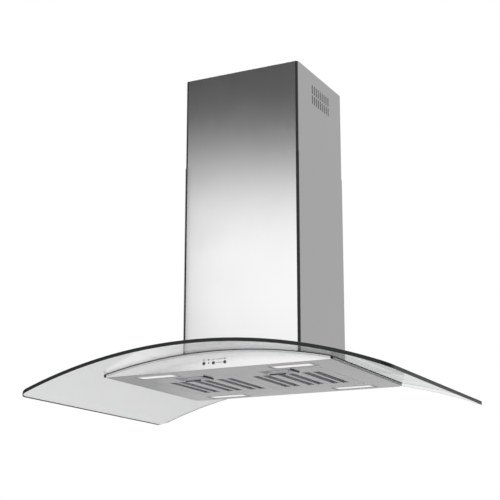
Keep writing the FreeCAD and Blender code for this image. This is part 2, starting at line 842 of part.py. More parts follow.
def filter_latch(middle):
    """A flat bolt on top of the pocket, with a finger pull hanging into it."""
    tip = filter_front + latch_tip_inset
    half = pull_width / 2
    bolt = box(middle - latch_width / 2, middle + latch_width / 2, tip, pull_rear,
               latch_bottom, latch_bottom + latch_thickness)
    low = latch_bottom - pull_drop
    web = box(middle - half, middle + half, pull_rear - pull_web, pull_rear,
              low, latch_bottom + latch_thickness)
    lip = box(middle - half, middle + half, pull_rear - pull_reach, pull_rear,
              low, low + latch_thickness)
    pull = web.fuse(lip).removeSplitter()
    nose = [edge for edge in pull.Edges
            if abs(edge.CenterOfMass.y - (pull_rear - pull_reach)) < 0.01
            and abs(edge.tangentAt(edge.FirstParameter).x) > 0.99]
    pull = pull.makeFillet(latch_thickness / 2 - 0.05, nose)
    return bolt.fuse(pull)


# ---- Blower --------------------------------------------------------------------------------

def blower_screw_places():
    x = blower_width / 2 + screw_inset
    y = blower_depth / 2 + screw_inset
    return [Vector(side_x * x, side_y * glass_bolt_y / 2, 0)
            for name, side_x, side_y in CORNERS] + \
           [Vector(side_x * glass_bolt_x / 2, side_y * y, 0) for name, side_x, side_y in CORNERS]


def scroll_arcs(grow):
    """Three quarter turns of growing radius, each set off from the last, in the YZ plane.

    The first starts where the wall of that thickness meets the straight side of the outlet.
    """
    step = scroll_growth
    centres = ((-step / 2, -step / 2), (step / 2, -step / 2), (step / 2, step / 2))
    edges = []
    for turn, (y, z) in enumerate(centres):
        radius = scroll_start + turn * step + grow
        start = 90 + 90 * turn
        if turn == 0:
            start += math.degrees(math.asin(grow / radius))
        stop = 180 + 90 * turn
        points = [Vector(0, axle_y + y + radius * math.cos(math.radians(turned)),
                         axle_z + z + radius * math.sin(math.radians(turned)))
                  for turned in (start, (start + stop) / 2, stop)]
        edges.append(Part.Arc(*points).toShape())
    return edges


def scroll_solid(grow, half_width):
    """The spiral with its outlet carried straight up to the top of the blower box."""
    edges = scroll_arcs(grow)
    first = edges[0].Vertexes[0].Point
    last = edges[-1].Vertexes[-1].Point
    mouth = blower_top - blower_sheet
    points = [last, Vector(0, last.y, mouth), Vector(0, first.y, mouth), first]
    lines = [Part.LineSegment(a, b).toShape() for a, b in zip(points, points[1:])]
    face = Part.Face(Part.Wire(edges + lines))
    face.translate(Vector(-half_width, 0, 0))
    return face.extrude(Vector(2 * half_width, 0, 0))


def blower_scroll():
    """A spiral casing with a round inlet in each side."""
    half = scroll_width / 2
    casing = scroll_solid(scroll_wall, half + scroll_wall).cut(scroll_solid(0, half))
    inlets = rod(Vector(-half - scroll_wall, axle_y, axle_z), Vector(1, 0, 0), inlet_radius,
                 scroll_width + 2 * scroll_wall)
    return casing.cut(inlets)


def outlet_range():
    """Where the scroll's outlet meets the top of the blower box, along Y."""
    edges = scroll_arcs(0)
    return edges[0].Vertexes[0].Point.y, edges[-1].Vertexes[-1].Point.y


def blower_box():
    """A folded steel box, open below, with four flanges on the clamp frame."""
    half_x = blower_width / 2
    half_y = blower_depth / 2
    sheet = blower_sheet
    shell = mid_box(half_x, half_y, frame_top, blower_top)
    shell = shell.cut(mid_box(half_x - sheet, half_y - sheet, frame_top, blower_top - sheet))
    flanges = mid_box(half_x + blower_flange, blower_flange_y / 2, frame_top, frame_top + sheet)
    flanges = flanges.fuse(mid_box(blower_flange_x / 2, half_y + blower_flange,
                                   frame_top, frame_top + sheet))
    flanges = flanges.cut(mid_box(half_x - sheet, half_y - sheet, frame_top, blower_top))
    y0, y1 = outlet_range()
    outlet = box(-scroll_width / 2, scroll_width / 2, y0, y1, blower_top - sheet, blower_top)
    holes = upright_holes(blower_screw_places(), bolt_radius + bolt_clearance,
                          frame_top, frame_top + sheet)
    return shell.fuse(flanges).cut(outlet).cut(holes).removeSplitter()


def bracket_angles():
    return [90 + i * 360 / bracket_arms for i in range(bracket_arms)]


def bracket_ends(x):
    reach = bracket_reach - bracket_arm / 2
    return [Vector(x, axle_y + reach * math.cos(math.radians(a)),
                   axle_z + reach * math.sin(math.radians(a))) for a in bracket_angles()]


def motor_bracket():
    """A three-armed spider that holds the motor in front of one inlet."""
    face = -scroll_width / 2 - scroll_wall
    x0 = face - bracket_standoff - bracket_thickness
    along = Vector(1, 0, 0)
    hub = rod(Vector(x0, axle_y, axle_z), along, motor_radius, bracket_thickness)
    pieces = [hub]
    for turn, end in zip(bracket_angles(), bracket_ends(x0)):
        run = Vector(0, math.cos(math.radians(turn)), math.sin(math.radians(turn)))
        middle = Vector(x0, axle_y, axle_z) + run * (bracket_reach / 2)
        pieces.append(obround(middle, run, bracket_reach, bracket_arm, along * bracket_thickness))
        pieces.append(rod(end, along, bracket_arm / 2, bracket_standoff + bracket_thickness))
    holes = [rod(Vector(x0, axle_y, axle_z), along, bracket_hole_radius, bracket_thickness)]
    holes += [rod(end, along, bolt_radius + bolt_clearance, bracket_standoff + bracket_thickness)
              for end in bracket_ends(x0)]
    return fused(pieces).cut(Part.makeCompound(holes))


def blower_screws():
    """Screws in the blower box's flanges and in the ends of the motor bracket."""
    screws = []
    for place in blower_screw_places():
        base = Vector(place.x, place.y, frame_top + blower_sheet)
        screws.append(screw(base, Vector(0, 0, 1), blower_sheet + frame_sheet))
    face = -scroll_width / 2 - scroll_wall - bracket_standoff - bracket_thickness
    for end in bracket_ends(face):
        screws.append(screw(end, Vector(-1, 0, 0), bracket_standoff + bracket_thickness))
    return screws


def motor():
    """A round motor with ribs along its can and a blind bearing bore."""
    x1 = -scroll_width / 2 - scroll_wall - bracket_standoff - bracket_thickness
    x0 = x1 - motor_length
    along = Vector(1, 0, 0)
    centre = Vector(x0, axle_y, axle_z)
    can = rod(centre, along, motor_radius - motor_rib_depth, motor_length)
    ribs = []
    for i in range(motor_rib_count):
        turn = 360 * i / motor_rib_count
        rib = box(x0 + motor_rib_depth, x1 - motor_rib_depth, axle_y - motor_rib_depth / 2,
                  axle_y + motor_rib_depth / 2, axle_z + bracket_hole_radius,
                  axle_z + motor_radius)
        rib.rotate(Vector(0, axle_y, axle_z), along, turn)
        ribs.append(rib)
    bore = rod(Vector(x1 - shaft_in_motor - shaft_fit, axle_y, axle_z), along,
               shaft_radius + shaft_fit, shaft_in_motor + shaft_fit)
    return fused([can] + ribs).cut(bore)


def motor_shaft():
    x0 = -scroll_width / 2 - scroll_wall - bracket_standoff - bracket_thickness - shaft_in_motor
    return rod(Vector(x0, axle_y, axle_z), Vector(1, 0, 0), shaft_radius, shaft_end - x0)


def blade(half_width):
    """One curved blade, drawn on the +Y side of the axis."""
    inner = blade_inner_radius
    outer = impeller_radius
    middle = (inner + outer) / 2
    low = -blade_thickness / 2
    high = blade_thickness / 2
    a, b = Vector(-half_width, inner, low), Vector(-half_width, outer, low)
    c, d = Vector(-half_width, outer, high), Vector(-half_width, inner, high)
    wire = Part.Wire([Part.Arc(a, Vector(-half_width, middle, low + blade_bow), b).toShape(),
                      Part.LineSegment(b, c).toShape(),
                      Part.Arc(c, Vector(-half_width, middle, high + blade_bow), d).toShape(),
                      Part.LineSegment(d, a).toShape()])
    solid = Part.Face(wire).extrude(Vector(2 * half_width, 0, 0))
    solid.rotate(Vector(0, middle, 0), Vector(1, 0, 0), blade_lean)
    return solid


def impeller():
    """A double-inlet fan wheel: curved blades between two rings and a hub plate."""
    along = Vector(1, 0, 0)
    half = impeller_width / 2
    origin = Vector(0, 0, 0)
    plate = rod(Vector(-hub_thickness / 2, 0, 0), along, impeller_radius + rim_margin,
                hub_thickness)
    boss = rod(Vector(-hub_length / 2, 0, 0), along, hub_radius, hub_length)
    pieces = [plate, boss]
    for x in (-half, half - ring_thickness):
        ring = rod(Vector(x, 0, 0), along, impeller_radius + rim_margin, ring_thickness)
        ring = ring.cut(rod(Vector(x, 0, 0), along, impeller_radius - ring_depth, ring_thickness))
        pieces.append(ring)
    first = blade(half - ring_thickness)
    for i in range(blade_count):
        copy = first.copy()
        copy.rotate(origin, along, 360 * i / blade_count)
        pieces.append(copy)
    bore = rod(Vector(-hub_length / 2, 0, 0), along, shaft_radius + shaft_fit, hub_length)
    wheel = fused(pieces).cut(bore)
    wheel.translate(Vector(0, axle_y, axle_z))
    return wheel


# ---- Duct collar, flaps and mains box ------------------------------------------------------

def duct_collar():
    up = Vector(0, 0, 1)
    inner = collar_radius - collar_wall
    base = Vector(0, 0, blower_top)
    tube = rod(base, up, collar_radius, collar_height)
    tube = tube.fuse(rod(base, up, collar_radius + collar_flange, collar_flange_thickness))
    tube = tube.cut(rod(base, up, inner, collar_height))
    ledge = rod(Vector(0, 0, blower_top + ledge_top - ledge_thickness), up, inner + sheet_gap,
                ledge_thickness)
    ledge = ledge.cut(rod(base, up, inner - ledge_width, collar_height))
    bar = box(-inner - sheet_gap, inner + sheet_gap, -crossbar, crossbar,
              blower_top + ledge_top - ledge_thickness, blower_top + ledge_top + crossbar_height)
    collar = fused([tube, ledge, bar])
    pivots = [rod(Vector(-collar_radius, side * flap_pivot, flap_z()), Vector(1, 0, 0),
                  flap_pin + flap_pin_fit, 2 * collar_radius) for side in (-1, 1)]
    return collar.cut(Part.makeCompound(pivots))


def flap_z():
    return blower_top + ledge_top + flap_gap + flap_pin


def duct_flap(side):
    """A half disc on a barrel, whose pins turn in the collar's wall."""
    radius = collar_radius - collar_wall - flap_wall_gap
    low = flap_z() - flap_thickness / 2
    disc = rod(Vector(0, 0, low), Vector(0, 0, 1), radius, flap_thickness)
    keep = box(-radius, radius, flap_pivot, radius, low, low + flap_thickness)
    ledge_radius = collar_radius - collar_wall - ledge_width - flap_gap
    half = math.sqrt(ledge_radius ** 2 - (flap_pivot + flap_barrel) ** 2)
    barrel = rod(Vector(-half, flap_pivot, flap_z()), Vector(1, 0, 0), flap_barrel, 2 * half)
    reach = math.sqrt(collar_radius ** 2 - (flap_pivot + flap_pin) ** 2) - flap_gap
    pin = rod(Vector(-reach, flap_pivot, flap_z()), Vector(1, 0, 0), flap_pin, 2 * reach)
    flap = fused([disc.common(keep), barrel, pin])
    return flap if side > 0 else flap.mirror(Vector(0, 0, 0), Vector(0, 1, 0))


def power_box():
    case = box(power_x - power_width / 2, power_x + power_width / 2, -power_length / 2,
               power_length / 2, blower_top, blower_top + power_height)
    return rounded(case, power_corner)


def cable_gland():
    base = Vector(power_x, gland_y, blower_top + power_height)
    up = Vector(0, 0, 1)
    nut = hexagon(base, up, gland_nut_radius, gland_nut_height)
    body = rod(base, up, gland_radius, gland_height)
    return nut.fuse(body).cut(rod(base, up, gland_bore, gland_height))


def build():
    os.makedirs("parts", exist_ok=True)
    save("ceiling_plate", ceiling_plate())
    save("cable_grommet", cable_grommet())
    save("upper_chimney", upper_chimney())
    save("upright_screws", *upright_screws())
    save("lower_chimney", lower_chimney())
    save("height_bolts", *height_bolts())
    save("foot_screws", *foot_screws())
    save("cover_brackets", *cover_brackets())
    for name, side_x, side_y in CORNERS:
        save("upper_upright_" + name, quadrant(upper_upright(), side_x, side_y))
        save("lower_upright_" + name, quadrant(lower_upright(), side_x, side_y))
    save("clamp_frame", clamp_frame())
    save("clamp_gasket", clamp_gasket())
    save("glass_canopy", glass_canopy())
    save("glass_gasket", *glass_gasket())
    save("glass_bolts", *glass_bolts())
    save("canopy_deck", canopy_deck())
    save("canopy_pan", canopy_pan())
    save("front_fascia", front_fascia())
    save("control_board", control_board())
    save("status_lights", *status_lights(0))
    for name, x in zip(("left", "middle", "right"), button_places):
        save("button_" + name, button(x))
    for name, x, y in lamp_places():
        save(name + "_housing", lamp_housing(x, y))
        save(name + "_lens", lamp_lens(x, y))
    save("led_boards", *[led_board(x, y) for name, x, y in lamp_places()])
    for name, side in (("left", -1), ("right", 1)):
        middle = side * (filter_seam + filter_width) / 2
        save("filter_" + name, filter_tray(middle))
        save("baffles_" + name, filter_baffles(middle))
        save("latch_" + name, filter_latch(middle))
    save("blower_box", blower_box())
    save("blower_screws", *blower_screws())
    save("blower_scroll", blower_scroll())
    save("motor_bracket", motor_bracket())
    save("motor", motor())
    save("motor_shaft", motor_shaft())
    save("impeller", impeller())
    save("duct_collar", duct_collar())
    save("duct_flap_front", duct_flap(-1))
    save("duct_flap_rear", duct_flap(1))
    save("power_box", power_box())
    save("cable_gland", cable_gland())


build()
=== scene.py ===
import json
import math

import bmesh
import bpy
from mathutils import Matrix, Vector

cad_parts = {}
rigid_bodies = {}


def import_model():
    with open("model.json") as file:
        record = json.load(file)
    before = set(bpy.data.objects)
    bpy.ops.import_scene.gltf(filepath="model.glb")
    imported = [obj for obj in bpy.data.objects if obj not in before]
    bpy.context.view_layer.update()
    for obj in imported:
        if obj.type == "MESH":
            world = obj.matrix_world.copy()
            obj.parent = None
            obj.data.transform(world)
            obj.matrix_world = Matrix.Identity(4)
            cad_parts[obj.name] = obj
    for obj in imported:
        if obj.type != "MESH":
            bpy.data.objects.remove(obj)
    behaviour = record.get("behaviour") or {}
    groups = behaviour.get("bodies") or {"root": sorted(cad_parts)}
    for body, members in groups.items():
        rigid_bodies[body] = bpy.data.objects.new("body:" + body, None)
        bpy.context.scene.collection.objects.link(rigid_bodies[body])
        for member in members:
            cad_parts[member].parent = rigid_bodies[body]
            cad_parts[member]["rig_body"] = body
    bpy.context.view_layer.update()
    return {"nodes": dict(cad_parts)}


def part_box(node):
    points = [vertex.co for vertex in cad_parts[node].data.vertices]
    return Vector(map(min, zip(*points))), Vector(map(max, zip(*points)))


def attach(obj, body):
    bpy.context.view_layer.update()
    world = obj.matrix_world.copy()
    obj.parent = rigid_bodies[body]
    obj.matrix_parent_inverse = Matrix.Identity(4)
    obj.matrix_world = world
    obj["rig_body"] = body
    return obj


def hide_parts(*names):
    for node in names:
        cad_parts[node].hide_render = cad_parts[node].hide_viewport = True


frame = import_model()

MM = 0.001
scene = bpy.context.scene
scene.view_settings.view_transform = "Standard"


# ---- Ceiling plate and grommet ----------------------------------------------------------------
# The plate that bolts to the ceiling: a shallow tray pressed from 3 mm steel and hot-dip
# galvanised, with a round hole for the duct and a black rubber grommet for the cable.

def linear(colour):
    """An sRGB hex colour as the linear values that a shader socket takes."""
    parts = [int(colour[i:i + 2], 16) / 255 for i in (1, 3, 5)]
    return [c / 12.92 if c <= 0.04045 else ((c + 0.055) / 1.055) ** 2.4 for c in parts] + [1.0]


def add(tree, kind, settings=None, links=None):
    """Adds a node: settings are its properties or its sockets' values, links feed its sockets."""
    made = tree.nodes.new(kind)
    for key, value in (settings or {}).items():
        if isinstance(key, str) and hasattr(made, key):
            setattr(made, key, value)
        else:
            made.inputs[key].default_value = value
    for key, source in (links or {}).items():
        tree.links.new(source, made.inputs[key])
    return made


def new_material(name, settings):
    """A material with one principled shader, and the coordinates that its patterns use."""
    material = bpy.data.materials.new(name)
    material.use_nodes = True
    tree = material.node_tree
    shader = tree.nodes["Principled BSDF"]
    for key, value in settings.items():
        shader.inputs[key].default_value = value
    place = add(tree, "ShaderNodeTexCoord").outputs["Object"]
    return material, tree, shader, place


def dress(tree, shader, level, dark, light, gloss=None, relief=None):
    """Lets a pattern drive a shader's colour, roughness (a range) and relief (strength, depth)."""
    dark, light = [linear(c) if isinstance(c, str) else c for c in (dark, light)]
    tone = add(tree, "ShaderNodeMix", {"data_type": "RGBA", 6: dark, 7: light}, {0: level})
    tree.links.new(tone.outputs[2], shader.inputs["Base Color"])
    if gloss:
        spread = add(tree, "ShaderNodeMapRange", {"To Min": gloss[0], "To Max": gloss[1]},
                     {"Value": level})
        tree.links.new(spread.outputs["Result"], shader.inputs["Roughness"])
    if relief:
        skin = add(tree, "ShaderNodeBump", {"Strength": relief[0], "Distance": relief[1]},
                   {"Height": level})
        tree.links.new(skin.outputs["Normal"], shader.inputs["Normal"])


def mottle(tree, shader, place, size, detail, dark, light, gloss=None, relief=None):
    """Dresses a shader with soft clouds of about this size."""
    clouds = add(tree, "ShaderNodeTexNoise", {"Scale": 1 / size, "Detail": detail},
                 {"Vector": place})
    dress(tree, shader, clouds.outputs["Fac"], dark, light, gloss, relief)


def galvanised_sheet():
    """Zinc-dipped steel: grey spangle, each crystal a little lighter or duller than the next."""
    material, tree, shader, place = new_material("galvanised_sheet", {"Metallic": 1.0})
    spangle_size = 9 * MM
    crystals = add(tree, "ShaderNodeTexVoronoi", {"Scale": 1 / spangle_size}, {"Vector": place})
    shares = add(tree, "ShaderNodeSeparateColor", links={"Color": crystals.outputs["Color"]})
    dress(tree, shader, shares.outputs["Red"], "#a9adb0", "#c6c9cb")
    gloss = add(tree, "ShaderNodeMapRange", {"To Min": 0.34, "To Max": 0.5},
                {"Value": shares.outputs["Green"]})
    tree.links.new(gloss.outputs["Result"], shader.inputs["Roughness"])
    return material


def moulded_rubber():
    """Black rubber: nearly matt, with a fine uneven skin."""
    material, tree, shader, place = new_material("moulded_rubber", {"IOR": 1.52})
    mottle(tree, shader, place, 1.5 * MM, 3.0, "#141414", "#242424",
          gloss=(0.55, 0.8), relief=(0.3, 0.05 * MM))
    return material


def stand_for(piece, node):
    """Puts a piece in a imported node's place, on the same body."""
    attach(piece, frame["nodes"][node]["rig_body"])
    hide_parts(node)
    return piece


def new_piece(name, mesh, *materials):
    """An object in the scene with these materials."""
    piece = bpy.data.objects.new(name, mesh)
    scene.collection.objects.link(piece)
    for material in materials:
        piece.data.materials.append(material)
    return piece


def baked(piece):
    """The piece as a plain mesh with its modifiers applied."""
    bpy.context.view_layer.update()
    graph = bpy.context.evaluated_depsgraph_get()
    mesh = bpy.data.meshes.new_from_object(piece.evaluated_get(graph))
    piece.modifiers.clear()
    piece.data = mesh
    return piece


def rounded_edges(piece, radius, steps=2):
    """Rounds every sharp edge by a radius in millimetres, with flat faces kept flat."""
    bevel = piece.modifiers.new("rounded_edges", "BEVEL")
    bevel.width = radius * MM
    bevel.segments = steps
    bevel.limit_method = "ANGLE"
    bevel.angle_limit = math.radians(40)
    bevel.use_clamp_overlap = False
    even = piece.modifiers.new("flat_faces_flat", "WEIGHTED_NORMAL")
    even.mode = "FACE_AREA"
    even.weight = 100
    return baked(piece)


def mesh_of(work, name):
    """The bmesh as a mesh of this name; the bmesh is freed."""
    mesh = bpy.data.meshes.new(name)
    work.to_mesh(mesh)
    work.free()
    return mesh


def merged_copy(node):
    """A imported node's mesh with its loose triangles merged and its flat faces joined."""
    work = bmesh.new()
    work.from_mesh(frame["nodes"][node].data)
    bmesh.ops.remove_doubles(work, verts=work.verts, dist=0.001 * MM)
    bmesh.ops.dissolve_limit(work, angle_limit=math.radians(0.4), verts=work.verts,
                             edges=work.edges)
    for face in work.faces:
        face.smooth = True
    return mesh_of(work, node + "_finish")


def finished(node, material, radius=0.3):
    """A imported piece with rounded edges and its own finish."""
    piece = new_piece(node + "_finish", merged_copy(node), material)
    rounded_edges(piece, radius)
    return stand_for(piece, node)


galvanised = galvanised_sheet()
rubber = moulded_rubber()
finished("ceiling_plate", galvanised, 0.6)
finished("cable_grommet", rubber, 0.5)


# ---- Telescoping uprights ---------------------------------------------------------------------
# Eight bent steel angles, galvanised: four hang from the ceiling plate and have long slots, four
# stand on the clamp frame inside them, and bolts through the slots hold the height.

corner_names = ("front_left", "front_right", "rear_left", "rear_right")
for corner in corner_names:
    finished("upper_upright_" + corner, galvanised, 0.3)
    finished("lower_upright_" + corner, galvanised, 0.3)


# ---- Screws and bolts -------------------------------------------------------------------------
# Hexagon-headed steel screws with a washer face and a rolled thread, bright zinc plated. One tree
# makes each screw from its sizes, and sets one at every seat, turned along the seat's axis.

def bright_zinc():
    """Zinc plate: a bluish silver, slightly mottled, semi-gloss."""
    material, tree, shader, place = new_material("bright_zinc", {"Metallic": 1.0})
    mottle(tree, shader, place, 3 * MM, 4.0, "#b4b9be", "#d5d9dc",
          gloss=(0.18, 0.4))
    return material


def tree_with_inputs(name, inputs):
    """An empty geometry tree with a geometry socket each way and the named inputs."""
    tree = bpy.data.node_groups.new(name, "GeometryNodeTree")
    tree.is_modifier = True
    tree.interface.new_socket("Geometry", in_out="OUTPUT", socket_type="NodeSocketGeometry")
    tree.interface.new_socket("Geometry", in_out="INPUT", socket_type="NodeSocketGeometry")
    for label, kind in inputs.items():
        tree.interface.new_socket(label, in_out="INPUT", socket_type="NodeSocket" + kind)
    return tree, add(tree, "NodeGroupInput").outputs, add(tree, "NodeGroupOutput").inputs


def run_tree(piece, tree, values):
    """Gives the piece the tree as a modifier with these inputs, and applies it."""
    modifier = piece.modifiers.new(tree.name, "NODES")
    modifier.node_group = tree
    for socket in tree.interface.items_tree:
        if socket.in_out == "INPUT" and socket.name in values:
            modifier[socket.identifier] = values[socket.name]
    return baked(piece)


def end_tree(tree, geometry, finish, result):
    """Realizes the instances, sets their material and ends the tree."""
    whole = add(tree, "GeometryNodeRealizeInstances", links={"Geometry": geometry})
    dressed = add(tree, "GeometryNodeSetMaterial",
                  links={"Geometry": whole.outputs[0], "Material": finish})
    tree.links.new(dressed.outputs[0], result["Geometry"])
    return tree


def screw_tree():
    """A screw on each point: a chamfered hexagon head on a washer face, a shank and its thread."""
    tree, given, result = tree_with_inputs("hexagon_screws", {
        "Head radius": "Float", "Head height": "Float", "Shank radius": "Float",
        "Shank length": "Float", "Thread pitch": "Float", "Finish": "Material"})
    chamfer, washer = 0.3, 0.12             # heights as shares of the head's
    size = {}
    for name, whole, share in (
            ("side radius", "Head radius", 0.98), ("side height", "Head height", 1 - chamfer),
            ("side middle", "Head height", (1 - chamfer) / 2),
            ("crown radius", "Head radius", 0.78), ("crown height", "Head height", chamfer),
            ("crown middle", "Head height", 1 - chamfer + chamfer / 2),
            ("washer radius", "Head radius", 0.86), ("washer height", "Head height", washer),
            ("washer middle", "Head height", washer / 2),
            ("core radius", "Shank radius", 0.93), ("thread radius", "Shank radius", 0.92),
            ("shank middle", "Shank length", -0.5), ("ridge radius", "Thread pitch", 0.2),
            ("half pitch", "Thread pitch", 0.5)):
        size[name] = add(tree, "ShaderNodeMath", {"operation": "MULTIPLY", 1: share},
                         {0: given[whole]}).outputs[0]

    def raised(geometry, height):
        up = add(tree, "ShaderNodeCombineXYZ", links={"Z": height})
        return add(tree, "GeometryNodeTransform",
                   links={"Geometry": geometry, "Translation": up.outputs[0]}).outputs[0]

    sides = add(tree, "GeometryNodeMeshCylinder", {"Vertices": 6},
                {"Radius": size["side radius"], "Depth": size["side height"]})
    crown = add(tree, "GeometryNodeMeshCone", {"Vertices": 6}, {
        "Radius Top": size["crown radius"], "Radius Bottom": size["side radius"],
        "Depth": size["crown height"]})
    washer_face = add(tree, "GeometryNodeMeshCylinder", {"Vertices": 24},
                      {"Radius": size["washer radius"], "Depth": size["washer height"]})
    shank = add(tree, "GeometryNodeMeshCylinder", {"Vertices": 16},
                {"Radius": size["core radius"], "Depth": given["Shank length"]})
    run = add(tree, "ShaderNodeMath", {"operation": "SUBTRACT"},
              {0: given["Shank length"], 1: given["Thread pitch"]}).outputs[0]
    turns = add(tree, "ShaderNodeMath", {"operation": "DIVIDE"},
                {0: run, 1: given["Thread pitch"]})
    helix = add(tree, "GeometryNodeCurveSpiral", {"Resolution": 12}, {
        "Rotations": turns.outputs[0], "Start Radius": size["thread radius"],
        "End Radius": size["thread radius"], "Height": run})
    ridge = add(tree, "GeometryNodeCurvePrimitiveCircle", {"Resolution": 3},
                {"Radius": size["ridge radius"]})
    thread = add(tree, "GeometryNodeCurveToMesh", {"Fill Caps": True},
                 {"Curve": helix.outputs[0], "Profile Curve": ridge.outputs[0]})
    thread_foot = add(tree, "ShaderNodeMath", {"operation": "SUBTRACT"},
                      {0: size["half pitch"], 1: given["Shank length"]}).outputs[0]
    parts = add(tree, "GeometryNodeJoinGeometry")
    for geometry, height in (
            (sides.outputs["Mesh"], size["side middle"]),
            (crown.outputs["Mesh"], size["crown middle"]),
            (washer_face.outputs["Mesh"], size["washer middle"]),
            (shank.outputs["Mesh"], size["shank middle"]),
            (thread.outputs["Mesh"], thread_foot)):
        tree.links.new(raised(geometry, height), parts.inputs[0])
    axis = add(tree, "GeometryNodeInputNamedAttribute",
               {"data_type": "FLOAT_VECTOR", "Name": "axis"})
    turned = add(tree, "FunctionNodeAlignRotationToVector", {"axis": "Z"},
                 {"Vector": axis.outputs["Attribute"]})
    seats = add(tree, "GeometryNodeMeshToPoints", links={"Mesh": given["Geometry"]})
    placed = add(tree, "GeometryNodeInstanceOnPoints", links={
        "Points": seats.outputs[0], "Instance": parts.outputs[0], "Rotation": turned.outputs[0]})
    return end_tree(tree, placed.outputs[0], given["Finish"], result)


zinc = bright_zinc()
hexagon_screws = screw_tree()
screw_sizes = {"Head radius": 4.2 * MM, "Head height": 3.2 * MM, "Shank radius": 2.4 * MM,
               "Thread pitch": 0.8 * MM, "Finish": zinc}


def solids_of(node, axis_at):
    """Each separate solid of a node as (its middle, the way its head points, half its length).

    axis_at gives the way the head points, from the middle of the solid.
    """
    work = bmesh.new()
    work.from_mesh(frame["nodes"][node].data)
    bmesh.ops.remove_doubles(work, verts=work.verts, dist=0.001 * MM)
    seen = set()
    found = []
    for first in work.verts:
        if first in seen:
            continue
        seen.add(first)
        reached, island = [first], []
        while reached:
            vertex = reached.pop()
            island.append(vertex.co.copy())
            for edge in vertex.link_edges:
                other = edge.other_vert(vertex)
                if other not in seen:
                    seen.add(other)
                    reached.append(other)
        low = Vector([min(p[i] for p in island) for i in range(3)])
        high = Vector([max(p[i] for p in island) for i in range(3)])
        middle = (low + high) / 2
        axis = Vector(axis_at(middle))
        half = abs(axis.dot(high - low)) / 2
        found.append((middle, axis, half))
    work.free()
    return found


def set_screws(node, axis_at):
    """A screw in place of each solid of a node, seated one head height in from its end."""
    solids = solids_of(node, axis_at)
    head = screw_sizes["Head height"]
    mesh = bpy.data.meshes.new(node + "_seats")
    mesh.from_pydata([middle + axis * (half - head) for middle, axis, half in solids], [], [])
    ways = mesh.attributes.new("axis", "FLOAT_VECTOR", "POINT")
    for way, solid in zip(ways.data, solids):
        way.vector = solid[1]
    piece = new_piece(node + "_finish", mesh)
    run_tree(piece, hexagon_screws, {**screw_sizes, "Shank length": 2 * solids[0][2] - head})
    return stand_for(piece, node)


lower_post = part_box("lower_upright_rear_right")[1]
set_screws("upright_screws", lambda p: (0, 0, -1))
set_screws("foot_screws", lambda p: (0, 0, 1))
set_screws("height_bolts", lambda p: (math.copysign(1, p.x), 0, 0)
           if abs(p.x) > lower_post.x else (0, math.copysign(1, p.y), 0))


# ---- Chimney covers ---------------------------------------------------------------------------
# Two rectangular tubes folded from 0.8 mm brushed stainless sheet. The lower one slides over the
# upper one and is cut to the curve of the glass; the upper one has two rows of vent slots in each
# side.

def darker(colour, share):
    """An sRGB hex colour as linear values, dimmed to a share of its light."""
    return [c * share for c in linear(colour)[:3]] + [1.0]


def brushed_stainless(name, colour, grain, roughness):
    """Fine brushed stainless: long faint streaks along the grain, a soft near-mirror sheen.

    The real streaks are 0.1 mm wide; these are 1.2 mm, so that they show in a picture.
    """
    material, tree, shader, place = new_material(name, {"Metallic": 1.0})
    streak_width, streak_length = 1.2 * MM, 90 * MM
    scale = [1 / streak_length if axis == grain else 1 / streak_width for axis in "XYZ"]
    along = add(tree, "ShaderNodeMapping", {"Scale": scale}, {"Vector": place})
    streaks = add(tree, "ShaderNodeTexNoise", {"Scale": 1.0, "Detail": 5.0, "Roughness": 0.6},
                  {"Vector": along.outputs[0]})
    dress(tree, shader, streaks.outputs["Fac"], darker(colour, 0.93), colour,
          relief=(0.07, 0.02 * MM))
    clouds = add(tree, "ShaderNodeTexNoise", {"Scale": 1 / (120 * MM), "Detail": 2.0},
                 {"Vector": place})
    dull = add(tree, "ShaderNodeMath", {"operation": "MULTIPLY_ADD", 1: 0.5},
               {0: clouds.outputs["Fac"], 2: streaks.outputs["Fac"]})
    gloss = add(tree, "ShaderNodeMapRange", {
        "From Min": 0.4, "From Max": 1.1, "To Min": roughness * 0.8, "To Max": roughness * 1.25},
                {"Value": dull.outputs[0]})
    tree.links.new(gloss.outputs["Result"], shader.inputs["Roughness"])
    return material


glass_sheet = 8 * MM
arch_radius = 1234 * MM
arch_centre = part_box("glass_canopy")[1].z - arch_radius


def arch(radius, x):
    """Height of an arch of this radius about the axis that the glass is curved round."""
    return arch_centre + math.sqrt(radius ** 2 - x ** 2)


def rounded_outline(half_x, half_y, radius, corner_steps=10, side_steps=1):
    """Points of a rectangle with round corners, anticlockwise, its long sides cut in steps."""
    points = []
    for quarter, (sx, sy) in enumerate(((1, 1), (-1, 1), (-1, -1), (1, -1))):
        centre = Vector((sx * (half_x - radius), sy * (half_y - radius)))
        for i in range(corner_steps + 1):
            turn = math.radians(90 * quarter + 90 * i / corner_steps)
            points.append(centre + Vector((math.cos(turn), math.sin(turn))) * radius)
        following = Vector(((half_x - radius) * (-sx if quarter % 2 == 0 else sx),
                            (half_y - radius) * (sy if quarter % 2 == 0 else -sy)))
        normal = Vector((math.cos(math.radians(90 * (quarter + 1))),
                         math.sin(math.radians(90 * (quarter + 1)))))
        start = points[-1]
        end = following + normal * radius
        for i in range(1, side_steps):
            points.append(start.lerp(end, i / side_steps))
    return points


